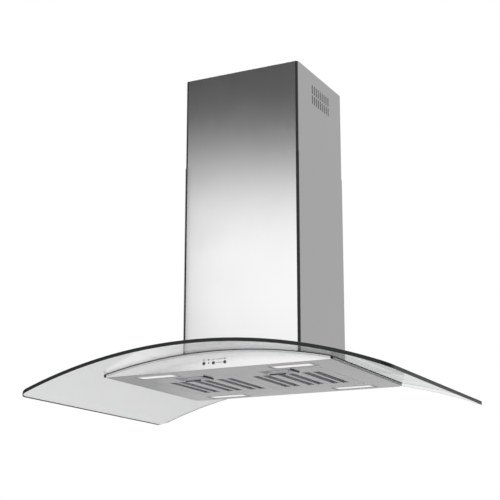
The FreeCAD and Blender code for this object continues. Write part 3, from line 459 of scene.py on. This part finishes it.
def cover_shell(name, node, corner, sheet, material, foot=None):
    """A rectangular tube of sheet metal; foot gives the height of its lower edge at each x."""
    low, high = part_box(node)
    bands = []
    for inset in (0, sheet):
        bands.append(rounded_outline(high.x - inset, high.y - inset, corner - inset,
                                     side_steps=24 if foot else 1))
    work = bmesh.new()
    rings = []
    for outline in bands:
        bottom = [work.verts.new((p.x, p.y, foot(p.x) if foot else low.z)) for p in outline]
        top = [work.verts.new((p.x, p.y, high.z)) for p in outline]
        rings.append((bottom, top))
    count = len(bands[0])
    for i in range(count):
        j = (i + 1) % count
        (outer_low, outer_high), (inner_low, inner_high) = rings
        work.faces.new((outer_low[i], outer_low[j], outer_high[j], outer_high[i]))
        work.faces.new((inner_low[j], inner_low[i], inner_high[i], inner_high[j]))
        work.faces.new((outer_high[i], outer_high[j], inner_high[j], inner_high[i]))
        work.faces.new((outer_low[j], outer_low[i], inner_low[i], inner_low[j]))
    for face in work.faces:
        face.smooth = True
    return new_piece(name, mesh_of(work, name), material)


def vent_tree():
    """Cuts rows of slots through both sides of a cover."""
    tree, given, result = tree_with_inputs("vent_slots", {
        "Slot width": "Float", "Slot length": "Float", "Slot pitch": "Float", "Slots": "Int",
        "Row pitch": "Float", "Rows": "Int", "Reach": "Float", "Middle": "Float",
        "Finish": "Material"})

    def centred_line(count, pitch, axis):
        """Points along one axis, evenly spaced about the middle."""
        gaps = add(tree, "ShaderNodeMath", {"operation": "SUBTRACT", 1: 1.0}, {0: count})
        span = add(tree, "ShaderNodeMath", {"operation": "MULTIPLY"},
                   {0: gaps.outputs[0], 1: pitch})
        start = add(tree, "ShaderNodeMath", {"operation": "MULTIPLY", 1: -0.5},
                    {0: span.outputs[0]})
        first = add(tree, "ShaderNodeCombineXYZ", links={axis: start.outputs[0]})
        step = add(tree, "ShaderNodeCombineXYZ", links={axis: pitch})
        return add(tree, "GeometryNodeMeshLine", links={
            "Count": count, "Start Location": first.outputs[0],
            "Offset": step.outputs[0]}).outputs[0]

    size = add(tree, "ShaderNodeCombineXYZ",
               links={"X": given["Reach"], "Y": given["Slot width"], "Z": given["Slot length"]})
    cutter = add(tree, "GeometryNodeMeshCube", links={"Size": size.outputs[0]})
    row = add(tree, "GeometryNodeInstanceOnPoints", links={
        "Points": centred_line(given["Slots"], given["Slot pitch"], "Y"),
        "Instance": cutter.outputs["Mesh"]})
    rows = add(tree, "GeometryNodeInstanceOnPoints", links={
        "Points": centred_line(given["Rows"], given["Row pitch"], "Z"),
        "Instance": row.outputs[0]})
    height = add(tree, "ShaderNodeCombineXYZ", links={"Z": given["Middle"]})
    placed = add(tree, "GeometryNodeTransform",
                 links={"Geometry": rows.outputs[0], "Translation": height.outputs[0]})
    cutters = add(tree, "GeometryNodeRealizeInstances", links={"Geometry": placed.outputs[0]})
    cut = add(tree, "GeometryNodeMeshBoolean", {"operation": "DIFFERENCE"},
              {"Mesh 1": given["Geometry"], "Mesh 2": cutters.outputs[0]})
    return end_tree(tree, cut.outputs["Mesh"], given["Finish"], result)


cover_sheet = 0.8 * MM
upper_corner = 9 * MM
cover_play = 0.4 * MM
chimney_steel = brushed_stainless("brushed_stainless_cover", "#e3e3e3", "Z", 0.12)

upper_cover = cover_shell("upper_cover", "upper_chimney", upper_corner, cover_sheet, chimney_steel)
upper_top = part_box("upper_chimney")[1].z
vent_length, vent_row_pitch, vent_top = 22.5 * MM, 26 * MM, 33 * MM
run_tree(upper_cover, vent_tree(), {
    "Slot width": 4 * MM, "Slot length": vent_length, "Slot pitch": 12 * MM, "Slots": 9,
    "Row pitch": vent_row_pitch, "Rows": 2, "Reach": 1.0,
    "Middle": upper_top - vent_top - (vent_length + vent_row_pitch) / 2,
    "Finish": chimney_steel})
rounded_edges(upper_cover, 0.2)
stand_for(upper_cover, "upper_chimney")

foot_play = 0.3 * MM
lower_cover = cover_shell("lower_cover", "lower_chimney", upper_corner + cover_play + cover_sheet,
                          cover_sheet, chimney_steel, lambda x: arch(arch_radius, x) + foot_play)
rounded_edges(lower_cover, 0.06)
stand_for(lower_cover, "lower_chimney")


# ---- Clamp frame ------------------------------------------------------------------------------
# A folded galvanised channel ring on a rubber ring, bolted through the glass. It carries the
# uprights, the blower and, on four small spacers, the lower cover.

finished("clamp_frame", galvanised, 0.4)
finished("clamp_gasket", rubber, 0.2)
finished("cover_brackets", galvanised, 0.3)
finished("glass_bolts", zinc, 0.4)


# ---- Blower -----------------------------------------------------------------------------------
# A folded galvanised box with a moulded plastic spiral casing inside it. A ribbed cast motor on a
# three-armed bracket turns a moulded fan wheel that draws air in from both sides.

def moulded_plastic(name, colour, roughness):
    """Injection-moulded plastic: even colour with a fine spark-eroded grain."""
    material, tree, shader, place = new_material(name, {"IOR": 1.49})
    mottle(tree, shader, place, 1.2 * MM, 2.0, darker(colour, 0.88), colour,
          gloss=(roughness - 0.06, roughness + 0.08), relief=(0.25, 0.04 * MM))
    return material


def cast_aluminium():
    """Die-cast aluminium: pale grey with a dull, slightly pitted skin."""
    material, tree, shader, place = new_material("cast_aluminium", {
        "Metallic": 1.0, "Roughness": 0.45})
    mottle(tree, shader, place, 2 * MM, 6.0, "#9c9d9f", "#c3c4c6",
          relief=(0.4, 0.1 * MM))
    return material


def ground_steel():
    """Ground shaft steel: bright, with fine rings round the shaft."""
    material, tree, shader, place = new_material("ground_steel", {"Metallic": 1.0})
    across = add(tree, "ShaderNodeMapping", {"Scale": (1 / (0.6 * MM), 0, 0)}, {"Vector": place})
    mottle(tree, shader, across.outputs[0], 1.0, 3.0, "#c9cacb", "#e4e5e6",
          gloss=(0.12, 0.28))
    return material


grey_plastic = moulded_plastic("moulded_grey_plastic", "#b3b5b7", 0.42)
black_plastic = moulded_plastic("moulded_black_plastic", "#2b2b2c", 0.4)
finished("blower_box", galvanised, 0.3)
finished("blower_scroll", grey_plastic, 0.4)
finished("impeller", grey_plastic, 0.2)
finished("motor_bracket", galvanised, 0.3)
finished("motor", cast_aluminium(), 0.4)
finished("motor_shaft", ground_steel(), 0.4)
finished("blower_screws", zinc, 0.4)


# ---- Duct collar, flaps and mains box ---------------------------------------------------------
# A black moulded collar takes the 150 mm duct; two half-round flaps on a crossbar fall shut when
# the fan stops. The mains box beside it is grey plastic with a black cable gland.

finished("duct_collar", black_plastic, 0.4)
finished("duct_flap_front", black_plastic, 0.3)
finished("duct_flap_rear", black_plastic, 0.3)
finished("power_box", grey_plastic, 1.0)
finished("cable_gland", black_plastic, 0.4)


# ---- Glass canopy -----------------------------------------------------------------------------
# One sheet of 8 mm toughened glass, bent to a 1.23 m radius, with round corners and ground edges.
# Seen end-on the ground edge is dark green, because the light there runs through the whole sheet.

def clear_glass():
    """Clear float glass with the slight grey-green of its iron, and a very faint wiped film.

    At a slant it shows the pale studio through it more than the body mirrored in it.
    """
    material, tree, shader, place = new_material("clear_float_glass", {
        "Transmission Weight": 1.0, "IOR": 1.52, "Base Color": linear("#ebecec")})
    film = add(tree, "ShaderNodeTexNoise", {"Scale": 1 / (60 * MM), "Detail": 4.0},
               {"Vector": place})
    gloss = add(tree, "ShaderNodeMapRange", {
        "From Min": 0.4, "From Max": 0.8, "To Min": 0.0, "To Max": 0.006},
                {"Value": film.outputs["Fac"]})
    tree.links.new(gloss.outputs["Result"], shader.inputs["Roughness"])
    slant = add(tree, "ShaderNodeLayerWeight", {"Blend": 0.5}).outputs["Facing"]
    share = add(tree, "ShaderNodeMapRange", {
        "interpolation_type": "SMOOTHSTEP", "From Min": 0.76, "From Max": 0.87, "To Min": 1.0,
        "To Max": 0.22}, {"Value": slant}).outputs["Result"]
    tint = add(tree, "ShaderNodeBsdfTransparent", {"Color": linear("#eeefef")})
    sheet = add(tree, "ShaderNodeMixShader", links={
        0: share, 1: tint.outputs[0], 2: shader.outputs[0]})
    tree.links.new(sheet.outputs[0], tree.nodes["Material Output"].inputs["Surface"])
    return material


def ground_glass_edge():
    """The ground edge: very dark green, dull, with faint marks.

    Looked at square on from inside the sheet it is clear, so that it stays a thin dark line there.
    """
    material, tree, shader, place = new_material("ground_glass_edge", {
        "IOR": 1.52, "Roughness": 0.4})
    mottle(tree, shader, place, 4 * MM, 5.0, "#0b1010", "#161e1e",
          relief=(0.1, 0.02 * MM))
    inside = add(tree, "ShaderNodeNewGeometry").outputs["Backfacing"]
    slant = add(tree, "ShaderNodeLayerWeight", {"Blend": 0.5}).outputs["Facing"]
    outside = add(tree, "ShaderNodeMath", {"operation": "SUBTRACT", 0: 1.0}, {1: inside})
    aslant = add(tree, "ShaderNodeMapRange", {"From Min": 0.2, "From Max": 0.35},
                 {"Value": slant})
    cover = add(tree, "ShaderNodeMath", {"operation": "MAXIMUM"},
                {0: outside.outputs[0], 1: aslant.outputs["Result"]})
    tree.links.new(cover.outputs[0], shader.inputs["Alpha"])
    return material


glass_finish = new_piece("glass_canopy_finish", merged_copy("glass_canopy"), clear_glass(),
                         ground_glass_edge())
rounded_edges(glass_finish, 1.2, 3)
edge_limit = 0.92       # cosine: a face turned further than this from the sheet is its edge
for face in glass_finish.data.polygons:
    radial = Vector((face.center.x, 0, face.center.z - arch_centre)).normalized()
    if abs(face.normal.dot(radial)) < edge_limit:
        face.material_index = 1
stand_for(glass_finish, "glass_canopy")


# ---- Canopy body ------------------------------------------------------------------------------
# A slim stainless body under the glass: an arched deck with a turned-down front lip, a flat pan
# folded up round the sides, and a lens-shaped fascia, with a dark rubber seal against the glass.

body_steel = brushed_stainless("brushed_stainless_body", "#d6d6d6", "X", 0.2)
fascia_steel = brushed_stainless("brushed_stainless_fascia", "#eaeaea", "X", 0.15)
body_low, body_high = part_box("canopy_deck")
body_rear_corner = 19 * MM
body_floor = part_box("canopy_pan")[0].z
under_glass = arch_radius - glass_sheet


def tube(name, points, radius, material, closed=False, sides=8):
    """A round bead of rubber that follows the points, as a mesh."""
    curve = bpy.data.curves.new(name + "_path", "CURVE")
    curve.dimensions = "3D"
    spline = curve.splines.new("POLY")
    spline.points.add(len(points) - 1)
    for knot, place in zip(spline.points, points):
        knot.co = (*place, 1)
    spline.use_cyclic_u = closed
    curve.bevel_depth = radius
    curve.bevel_resolution = sides // 4
    curve.use_fill_caps = not closed
    drawn = bpy.data.objects.new(name + "_path", curve)
    mesh = bpy.data.meshes.new_from_object(drawn)
    bpy.data.objects.remove(drawn)
    return new_piece(name, mesh, material)


def joined(piece, *others):
    """One piece made of several meshes that share its materials."""
    work = bmesh.new()
    for part in (piece, *others):
        work.from_mesh(part.data)
    for face in work.faces:
        face.smooth = True
    work.to_mesh(piece.data)
    work.free()
    for part in others:
        bpy.data.objects.remove(part)
    return piece


def body_edge(proud, drop):
    """The outline of the body, this far outside it and this far under the glass."""
    half, front, rear = body_high.x + proud, body_low.y - proud, body_high.y + proud
    corner = body_rear_corner + proud
    plan = [(half * (2 * i / 48 - 1), front) for i in range(49)]
    for side in (1, -1):
        turns = [math.radians(90 * i / 8) for i in range(9)]
        bend = [(side * (half - corner + corner * math.cos(t)),
                 rear - corner + corner * math.sin(t)) for t in turns]
        across = [(side * (half - corner) * (1 - 2 * i / 32), rear) for i in range(1, 32)]
        plan += bend + across if side > 0 else bend[::-1]
    return [Vector((x, y, arch(under_glass, x) - drop)) for x, y in plan]


# The seal's visible bead is 1 mm in radius, and a moulded block closes it at each front corner.
bead = 1.0 * MM
seal = new_piece("glass_gasket_finish", merged_copy("glass_gasket"), rubber)
rounded_edges(seal, 0.15)
beads = [tube("seal_bead", body_edge(0.5 * MM, bead + 0.1 * MM), bead, rubber, closed=True)]
block = 3.1 * MM
for side in (-1, 1):
    x, y = side * (body_high.x - 1.2 * MM), body_low.y + 1.2 * MM
    top = arch(under_glass, x) - 1.5 * MM
    corner_block = tube("seal_block", [Vector((x, y, body_floor + 0.5 * MM)),
                                       Vector((x, y, top))], block, rubber, sides=16)
    beads.append(rounded_edges(corner_block, 1.0, 3))
stand_for(joined(seal, *beads), "glass_gasket")

deck = new_piece("canopy_deck_finish", merged_copy("canopy_deck"), body_steel)
# The lower edge of the deck's front lip is drawn a little lower.
lip_radius, lip_drop = 1220.8 * MM, 0.45 * MM
for vertex in deck.data.vertices:
    radius = math.hypot(vertex.co.x, vertex.co.z - arch_centre)
    if abs(radius - lip_radius) < 0.05 * MM and vertex.co.y < body_low.y + 2 * MM:
        vertex.co.z -= lip_drop
stand_for(rounded_edges(deck, 0.2), "canopy_deck")
finished("front_fascia", fascia_steel, 0.25)


def bent_pan():
    """The pan with the 2 mm bend between its floor and its folded sides, outer faces in painted
    shade.
    """
    bend = 2 * MM
    mesh = merged_copy("canopy_pan")
    work = bmesh.new()
    work.from_mesh(mesh)
    folds = []
    for edge in work.edges:
        low = all(abs(v.co.z - body_floor) < 0.01 * MM for v in edge.verts)
        outer = all(max(abs(v.co.x) - body_high.x + body_rear_corner,
                        v.co.y - body_high.y + body_rear_corner) > 0 for v in edge.verts)
        upright = [f for f in edge.link_faces if abs(f.normal.z) < 0.1]
        inner = any(f.calc_center_median().dot(f.normal) < 0 for f in upright)
        if low and outer and upright and not inner and len(edge.link_faces) == 2:
            folds.append(edge)
    bmesh.ops.bevel(work, geom=folds, offset=bend, segments=4, profile=0.5, affect="EDGES",
                    clamp_overlap=False)
    for face in work.faces:
        face.smooth = True
        if abs(face.normal.z) < 0.9 and face.calc_center_median().dot(face.normal) > 0:
            face.material_index = 1
    work.to_mesh(mesh)
    work.free()
    # Painted shade: the outer faces of the bend and the sides get this darker copy of the body
    # steel.
    side_shade_steel = brushed_stainless("brushed_stainless_painted_side_shade", "#a2a2a2", "X", 0.2)
    return new_piece("canopy_pan_finish", mesh, body_steel, side_shade_steel)


stand_for(rounded_edges(bent_pan(), 0.3), "canopy_pan")


# ---- Controls ---------------------------------------------------------------------------------
# Three chrome-plated push buttons with fronts painted dark grey as painted reflection, and tinted
# light guides flush in the fascia.

def satin_chrome():
    """Satin chrome on plastic: a darker silver than the steel round it, partly painted dark
    reflection.
    """
    material, tree, shader, place = new_material("satin_chrome", {"Metallic": 1.0})
    mottle(tree, shader, place, 0.8 * MM, 2.0, "#a6a8aa", "#bfc1c3", gloss=(0.2, 0.3))
    return material


def circuit_board():
    """Green solder mask over copper tracks: glossy, with lighter lines where the tracks run."""
    material, tree, shader, place = new_material("circuit_board", {"Roughness": 0.3})
    tracks = add(tree, "ShaderNodeTexBrick", {
        "Color1": linear("#1c5a34"), "Color2": linear("#1f6339"), "Mortar": linear("#3f8a55"),
        "Scale": 1 / (12 * MM), "Mortar Size": 0.03}, {"Vector": place})
    tree.links.new(tracks.outputs["Color"], shader.inputs["Base Color"])
    return material


def light_guide(name, dark, light):
    """A tinted moulded light guide, unlit, with the cloudy look of a matt end face."""
    material, tree, shader, place = new_material(name, {"Roughness": 0.3, "IOR": 1.49})
    mottle(tree, shader, place, 1 * MM, 2.0, dark, light)
    return material


def printed_ink():
    """Grey pad-printed ink: matt, a little thin where the pad lifted."""
    material, tree, shader, place = new_material("pad_printed_ink", {"Roughness": 0.6})
    mottle(tree, shader, place, 0.7 * MM, 2.0, "#3c3e40", "#565859")
    return material


chrome = satin_chrome()
dark_reflection_cap = moulded_plastic("button_front_painted_reflection", "#434547", 0.35)
board_green = circuit_board()
button_xs = []
for name in ("left", "middle", "right"):
    low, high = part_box("button_" + name)
    button_xs.append((low.x + high.x) / 2)
    button = new_piece("button_" + name + "_finish", merged_copy("button_" + name), chrome,
                       dark_reflection_cap)
    rounded_edges(button, 1.3, 3)
    # Painted reflection: the button fronts take the dark grey plastic, standing in for a dark
    # reflection.
    for face in button.data.polygons:
        if face.normal.y < -0.95:
            face.material_index = 1
    stand_for(button, "button_" + name)
finished("control_board", board_green, 0.1)

lights = new_piece("status_lights_finish", merged_copy("status_lights"),
                   light_guide("smoked_light_guide", "#1e2021", "#34373a"),
                   light_guide("green_light_guide", "#0c3a32", "#1c5247"))
rounded_edges(lights, 0.1)
for face in lights.data.polygons:
    if face.center.x < button_xs[1]:
        face.material_index = 1
stand_for(lights, "status_lights")

# Plain printed marks over the buttons and the dashes, 0.05 mm thick: a plus, a short bar, a double
# bar, and four upright bars that grow. Each is x in metres, then lift, width and height in mm.
mark_level = body_floor + 21 * MM
mark_bars = [(button_xs[0], 0, 3.8, 1.3), (button_xs[0], 1.25, 1.3, 1.2),
             (button_xs[0], -1.25, 1.3, 1.2),
             (button_xs[1], 0, 2.6, 1.8),
             (button_xs[2], 0, 4.6, 1.5), (button_xs[2], 1.9, 2.6, 1.0)]
mark_bars += [(button_xs[1] + (8.0 + 4.4 * i) * MM, -0.2 * (3 - i), 1.5, 2.2 + 0.4 * i)
              for i in range(4)]
work = bmesh.new()
for x, lift, width, height in mark_bars:
    made = bmesh.ops.create_cube(work, size=1.0)["verts"]
    for vertex in made:
        vertex.co = (x + vertex.co.x * width * MM, body_low.y - 0.03 * MM + vertex.co.y * 0.05 * MM,
                     mark_level + (lift + vertex.co.z * height) * MM)
marks = new_piece("panel_marks", mesh_of(work, "panel_marks"), printed_ink())
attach(marks, "canopy")


# ---- Lamps ------------------------------------------------------------------------------------
# Four slim lamps in the underside: a silver-lacquered tray, a strip of diodes and an opal cover.

def silver_lacquer():
    """Satin silver lacquer on steel: tiny flakes in a clear coat."""
    material, tree, shader, place = new_material("silver_lacquer", {
        "Metallic": 0.85, "Coat Weight": 0.3, "Coat Roughness": 0.1})
    flakes = add(tree, "ShaderNodeTexVoronoi", {"Scale": 1 / (0.5 * MM)}, {"Vector": place})
    dress(tree, shader, flakes.outputs["Distance"], "#bdbfc0", "#d6d8d9", gloss=(0.28, 0.4))
    return material


def opal_cover():
    """An opal plastic cover, lit from behind: white in the middle, fading softly to its rim."""
    material, tree, shader, place = new_material("opal_cover", {
        "Roughness": 0.5, "IOR": 1.49, "Emission Strength": 0.62})
    across = add(tree, "ShaderNodeSeparateXYZ", links={0: add(
        tree, "ShaderNodeUVMap", {"uv_map": "face"}).outputs["UV"]})
    fades = []
    for way, start in (("X", 0.74), ("Y", 0.35)):
        reach = add(tree, "ShaderNodeMath", {"operation": "ABSOLUTE"}, {0: across.outputs[way]})
        fades.append(add(tree, "ShaderNodeMapRange", {
            "interpolation_type": "SMOOTHSTEP", "From Min": start, "From Max": 1.02,
            "To Min": 1.0, "To Max": 0.0}, {"Value": reach.outputs[0]}).outputs["Result"])
    glow = add(tree, "ShaderNodeMath", {"operation": "MULTIPLY"},
               {0: fades[0], 1: fades[1]}).outputs[0]
    light = add(tree, "ShaderNodeMix", {"data_type": "RGBA", 6: linear("#303030"),
                                        7: linear("#fffffd")}, {0: glow})
    tree.links.new(light.outputs[2], shader.inputs["Emission Color"])
    dress(tree, shader, glow, "#6c6d6d", "#909090")
    return material


def lamp_cover(node):
    """A lamp's cover, with coordinates from -1 to 1 across its face."""
    piece = new_piece(node + "_finish", merged_copy(node), opal)
    rounded_edges(piece, 0.4)
    low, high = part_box(node)
    middle, half = (low + high) / 2, (high - low) / 2
    face_uv = piece.data.uv_layers.new(name="face")
    for loop in piece.data.loops:
        place = piece.data.vertices[loop.vertex_index].co - middle
        face_uv.data[loop.index].uv = (place.x / half.x, place.y / half.y)
    return stand_for(piece, node)


lacquer, opal = silver_lacquer(), opal_cover()
for corner in corner_names:
    finished("lamp_" + corner + "_housing", lacquer, 0.3)
    lamp_cover("lamp_" + corner + "_lens")
finished("led_boards", board_green, 0.1)


# ---- Grease filters and latches ---------------------------------------------------------------
# Two shallow trays of brushed stainless sheet with six slots each and folded channels behind the
# slots that catch the grease. A grey latch slides in each finger pocket; black bars along the
# pocket's right and rear edges are painted shade.

def matt_aluminium(name, dark, light):
    """Mill-finish aluminium, dulled by grease and washing: nearly matt, faintly clouded."""
    material, tree, shader, place = new_material(name, {"Metallic": 0.7})
    mottle(tree, shader, place, 14 * MM, 4.0, dark, light, gloss=(0.55, 0.7))
    return material


def slot_lip_tree():
    """A folded rim of sheet metal round each slot, one on every point."""
    tree, given, result = tree_with_inputs("slot_lips", {
        "Slot width": "Float", "Slot length": "Float", "Sheet": "Float", "Height": "Float",
        "Finish": "Material"})

    def wider(size):
        return add(tree, "ShaderNodeMath", {"operation": "MULTIPLY_ADD", 1: 2.0},
                   {0: given["Sheet"], 2: size}).outputs[0]

    blocks = []
    for width, length in ((wider(given["Slot width"]), wider(given["Slot length"])),
                          (given["Slot width"], given["Slot length"])):
        tall = given["Height"] if not blocks else wider(given["Height"])
        size = add(tree, "ShaderNodeCombineXYZ", links={"X": width, "Y": length, "Z": tall})
        blocks.append(add(tree, "GeometryNodeMeshCube", links={"Size": size.outputs[0]}))
    ring = add(tree, "GeometryNodeMeshBoolean", {"operation": "DIFFERENCE"},
               {"Mesh 1": blocks[0].outputs["Mesh"], "Mesh 2": blocks[1].outputs["Mesh"]})
    seats = add(tree, "GeometryNodeMeshToPoints", links={"Mesh": given["Geometry"]})
    placed = add(tree, "GeometryNodeInstanceOnPoints", links={
        "Points": seats.outputs[0], "Instance": ring.outputs["Mesh"]})
    return end_tree(tree, placed.outputs[0], given["Finish"], result)


def soft_bar(name, low, high, material, radius):
    """A small moulded bar between two corners, given in millimetres, with round edges."""
    work = bmesh.new()
    for vertex in bmesh.ops.create_cube(work, size=1.0)["verts"]:
        vertex.co = [(low[i] + (vertex.co[i] + 0.5) * (high[i] - low[i])) * MM for i in range(3)]
    return rounded_edges(new_piece(name, mesh_of(work, name), material), radius, 3)


filter_steel = brushed_stainless("brushed_stainless_filter", "#d6d6d6", "Y", 0.22)
pocket_aluminium = matt_aluminium("pale_matt_aluminium", "#c9cacb", "#dedfe0")
# Slot rims: a darker grey than the tray's sheet, painted shade inside the slots; the matt finish
# also catches real light.
slot_shade_aluminium = matt_aluminium("slot_rim_painted_shade_aluminium", "#96979a", "#a8a9aa")
slot_lips = slot_lip_tree()
slot_width, slot_length, slot_middle = 17.5 * MM, 180 * MM, -32.5 * MM
lip_height, filter_sheet = 5.2 * MM, 0.8 * MM
pair_pitch, slot_pitch = 62.5 * MM, 25 * MM
slot_places = [pair * pair_pitch + side * slot_pitch / 2
               for pair in (-1, 0, 1) for side in (-1, 1)]
tray_skin = 0.35 * MM                       # what lies higher than this in a tray is its inside
pocket_front, pocket_rear = -179, -134      # ends of a finger pocket, in mm
for side in ("left", "right"):
    filter_low, filter_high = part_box("baffles_" + side)
    filter_middle = (filter_low.x + filter_high.x) / 2
    tray = new_piece("filter_" + side + "_finish", merged_copy("filter_" + side), filter_steel,
                     pocket_aluminium)
    rounded_edges(tray, 0.3)
    for face in tray.data.polygons:
        if face.center.z > body_floor + tray_skin:
            face.material_index = 1
    lip_level = body_floor + filter_sheet - 0.05 * MM + lip_height / 2
    mesh = bpy.data.meshes.new("slot_seats")
    mesh.from_pydata([(filter_middle + x, slot_middle, lip_level) for x in slot_places], [], [])
    lips = new_piece("slot_lips_" + side, mesh)
    run_tree(lips, slot_lips, {
        "Slot width": slot_width, "Slot length": slot_length, "Sheet": filter_sheet,
        "Height": lip_height, "Finish": slot_shade_aluminium})
    rounded_edges(lips, 0.1)
    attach(lips, "filter_" + side)
    stand_for(tray, "filter_" + side)
    x, low = filter_middle / MM, body_floor / MM
    # Painted shade: black bars put along the pocket's right and rear edges, where the pocket is in
    # shade.
    right_shade_bar = soft_bar("grip_" + side, (x + 38.6, pocket_front, low - 2.2),
                    (x + 42.2, pocket_rear, low + 0.05), black_plastic, 0.9)
    rear_shade_bar = soft_bar("grip_ledge", (x - 33, pocket_rear - 0.3, low - 2.4),
                     (x + 7.6, pocket_rear + 2.5, low + 0.05), black_plastic, 0.6)
    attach(joined(right_shade_bar, rear_shade_bar), "filter_" + side)
    finished("baffles_" + side, pocket_aluminium, 0.2)
    finished("latch_" + side, grey_plastic, 0.3)


# ---- Floor, light and camera ------------------------------------------------------------------
# A pale floor at room height, one broad soft lamp above, and a studio all round: white where the
# camera looks through, a white panel in front, darker panels either side of it, grey elsewhere.

floor_level = -2.4
floor_half = 30.0
mesh = bpy.data.meshes.new("floor")
mesh.from_pydata([(-floor_half, -floor_half, floor_level), (floor_half, -floor_half, floor_level),
                  (floor_half, floor_half, floor_level), (-floor_half, floor_half, floor_level)],
                 [], [(0, 1, 2, 3)])
material = bpy.data.materials.new("pale_floor")
material.use_nodes = True
tree = material.node_tree
tree.nodes.remove(tree.nodes["Principled BSDF"])
matt = add(tree, "ShaderNodeBsdfDiffuse", {"Color": linear("#e8e8e8")})
lift = add(tree, "ShaderNodeEmission", {"Color": linear("#ffffff"), "Strength": 0.3})
seen = add(tree, "ShaderNodeAddShader", links={0: matt.outputs[0], 1: lift.outputs[0]})
depth = add(tree, "ShaderNodeSeparateXYZ",
            links={0: add(tree, "ShaderNodeTexCoord").outputs["Object"]}).outputs["Y"]
# Mirrored in the steel, the floor is white in front of the hood, grey under and behind it, and
# bright again far off.
near = add(tree, "ShaderNodeMapRange", {
    "From Min": -3.5, "From Max": -1.5, "To Min": 1.0, "To Max": 0.44}, {"Value": depth})
far = add(tree, "ShaderNodeMapRange", {
    "From Min": 12.5, "From Max": 15.5, "To Min": 0.0, "To Max": 0.86}, {"Value": depth})
level = add(tree, "ShaderNodeMath", {"operation": "ADD"},
            {0: near.outputs["Result"], 1: far.outputs["Result"]})
mirrored = add(tree, "ShaderNodeEmission", {"Color": linear("#ffffff")},
               {"Strength": level.outputs[0]})
ray = add(tree, "ShaderNodeLightPath")
surface = add(tree, "ShaderNodeMixShader", links={
    0: ray.outputs["Is Glossy Ray"], 1: seen.outputs[0], 2: mirrored.outputs[0]})
tree.links.new(surface.outputs[0], tree.nodes["Material Output"].inputs["Surface"])
new_piece("floor", mesh, material)

world = bpy.data.worlds.new("studio")
world.use_nodes = True
scene.world = world
tree = world.node_tree
tree.nodes.remove(tree.nodes["Background"])
way = add(tree, "ShaderNodeSeparateXYZ",
          links={0: add(tree, "ShaderNodeTexCoord").outputs["Generated"]})


# Each step is a name, an operation and what it works on: a number or an earlier step. FADE goes
# smoothly from one level to another between two values, and is level beyond them. The front panel
# is bright up to 15 degrees above the horizon, and has faded out by 21.
steps = {"right": way.outputs["X"], "back": way.outputs["Y"], "up": way.outputs["Z"]}
for name, operation, *values in (
        ("rise", "ARCSINE", "up"), ("elevation", "DEGREES", "rise"),
        ("front", "MULTIPLY", "back", -1.0), ("turn", "ARCTAN2", "right", "front"),
        ("bearing", "DEGREES", "turn"), ("away", "ABSOLUTE", "bearing"),
        ("panel_top", "FADE", "elevation", 15.1, 21.0, 1.33, 0.09),
        ("panel_foot", "FADE", "elevation", 9.2, 13.0, 0.88, 1.0),
        ("panel", "MULTIPLY", "panel_top", "panel_foot"),
        ("from_left", "FADE", "bearing", -33.2, -28.9, 0.0, 1.0),
        ("from_right", "FADE", "bearing", 3.5, 9.0, 1.0, 0.0),
        ("in_panel", "MULTIPLY", "from_left", "from_right"),
        ("behind", "FADE", "away", 85.0, 100.0, 0.08, 1.0),
        ("wall", "FADE", "elevation", 6.0, 8.5, 0.86, 0.49),
        ("surround", "MULTIPLY", "behind", "wall"),
        ("panel_share", "MULTIPLY", "panel", "in_panel"),
        ("off_panel", "SUBTRACT", 1.0, "in_panel"),
        ("surround_share", "MULTIPLY", "surround", "off_panel"),
        ("sides", "ADD", "panel_share", "surround_share"),
        ("below", "FADE", "elevation", -3.0, 0.0, 1.0, 0.0),
        ("above", "SUBTRACT", 1.0, "below"), ("sides_share", "MULTIPLY", "sides", "above"),
        ("floor_share", "MULTIPLY", "below", 0.56),
        ("level", "ADD", "sides_share", "floor_share")):
    if operation == "FADE":
        limits = dict(zip(("From Min", "From Max", "To Min", "To Max"), values[1:]))
        made = add(tree, "ShaderNodeMapRange", {"interpolation_type": "SMOOTHSTEP", **limits},
                   {"Value": steps[values[0]]})
    else:
        made = add(tree, "ShaderNodeMath", {
            "operation": operation, **{i: v for i, v in enumerate(values) if v not in steps}},
                   {i: steps[v] for i, v in enumerate(values) if v in steps})
    steps[name] = made.outputs[0]
soft = add(tree, "ShaderNodeBackground", {"Color": linear("#ffffff"), "Strength": 0.75})
studio = add(tree, "ShaderNodeBackground", {"Color": linear("#ffffff")},
             {"Strength": steps["level"]})
white = add(tree, "ShaderNodeBackground", {"Color": linear("#ffffff"), "Strength": 1.0})
ray = add(tree, "ShaderNodeLightPath")
lit = add(tree, "ShaderNodeMixShader", links={
    0: ray.outputs["Is Glossy Ray"], 1: soft.outputs[0], 2: studio.outputs[0]})
through = add(tree, "ShaderNodeMath", {"operation": "MAXIMUM"}, {
    0: ray.outputs["Is Camera Ray"], 1: ray.outputs["Is Transmission Ray"]}).outputs[0]
shown = add(tree, "ShaderNodeMixShader", links={
    0: through, 1: lit.outputs[0], 2: white.outputs[0]})
tree.links.new(shown.outputs[0], tree.nodes["World Output"].inputs["Surface"])

softbox = bpy.data.lights.new("softbox", "AREA")
softbox.shape = "RECTANGLE"
softbox.size, softbox.size_y = 2.4, 1.6
softbox.energy = 45
lamp = bpy.data.objects.new("softbox", softbox)
lamp.location = (-0.6, -0.8, 2.2)
lamp.rotation_euler = (Vector((0, 0, -0.7)) - lamp.location).to_track_quat("-Z", "Y").to_euler()
scene.collection.objects.link(lamp)

# The camera stands below the hood at its front right corner and looks up at it.
camera_data = bpy.data.cameras.new("camera")
camera_data.sensor_width = 36.0
camera_data.lens = 91.72
camera_data.clip_end = 100.0
camera = bpy.data.objects.new("camera", camera_data)
camera.location = (1.3239, -2.7046, -1.2048)
turned_left = math.radians(26.78)
tilted_up = math.radians(14.62)
ahead = Vector((-math.sin(turned_left) * math.cos(tilted_up),
                math.cos(turned_left) * math.cos(tilted_up), math.sin(tilted_up)))
camera.rotation_euler = ahead.to_track_quat("-Z", "Y").to_euler()
scene.collection.objects.link(camera)
scene.camera = camera
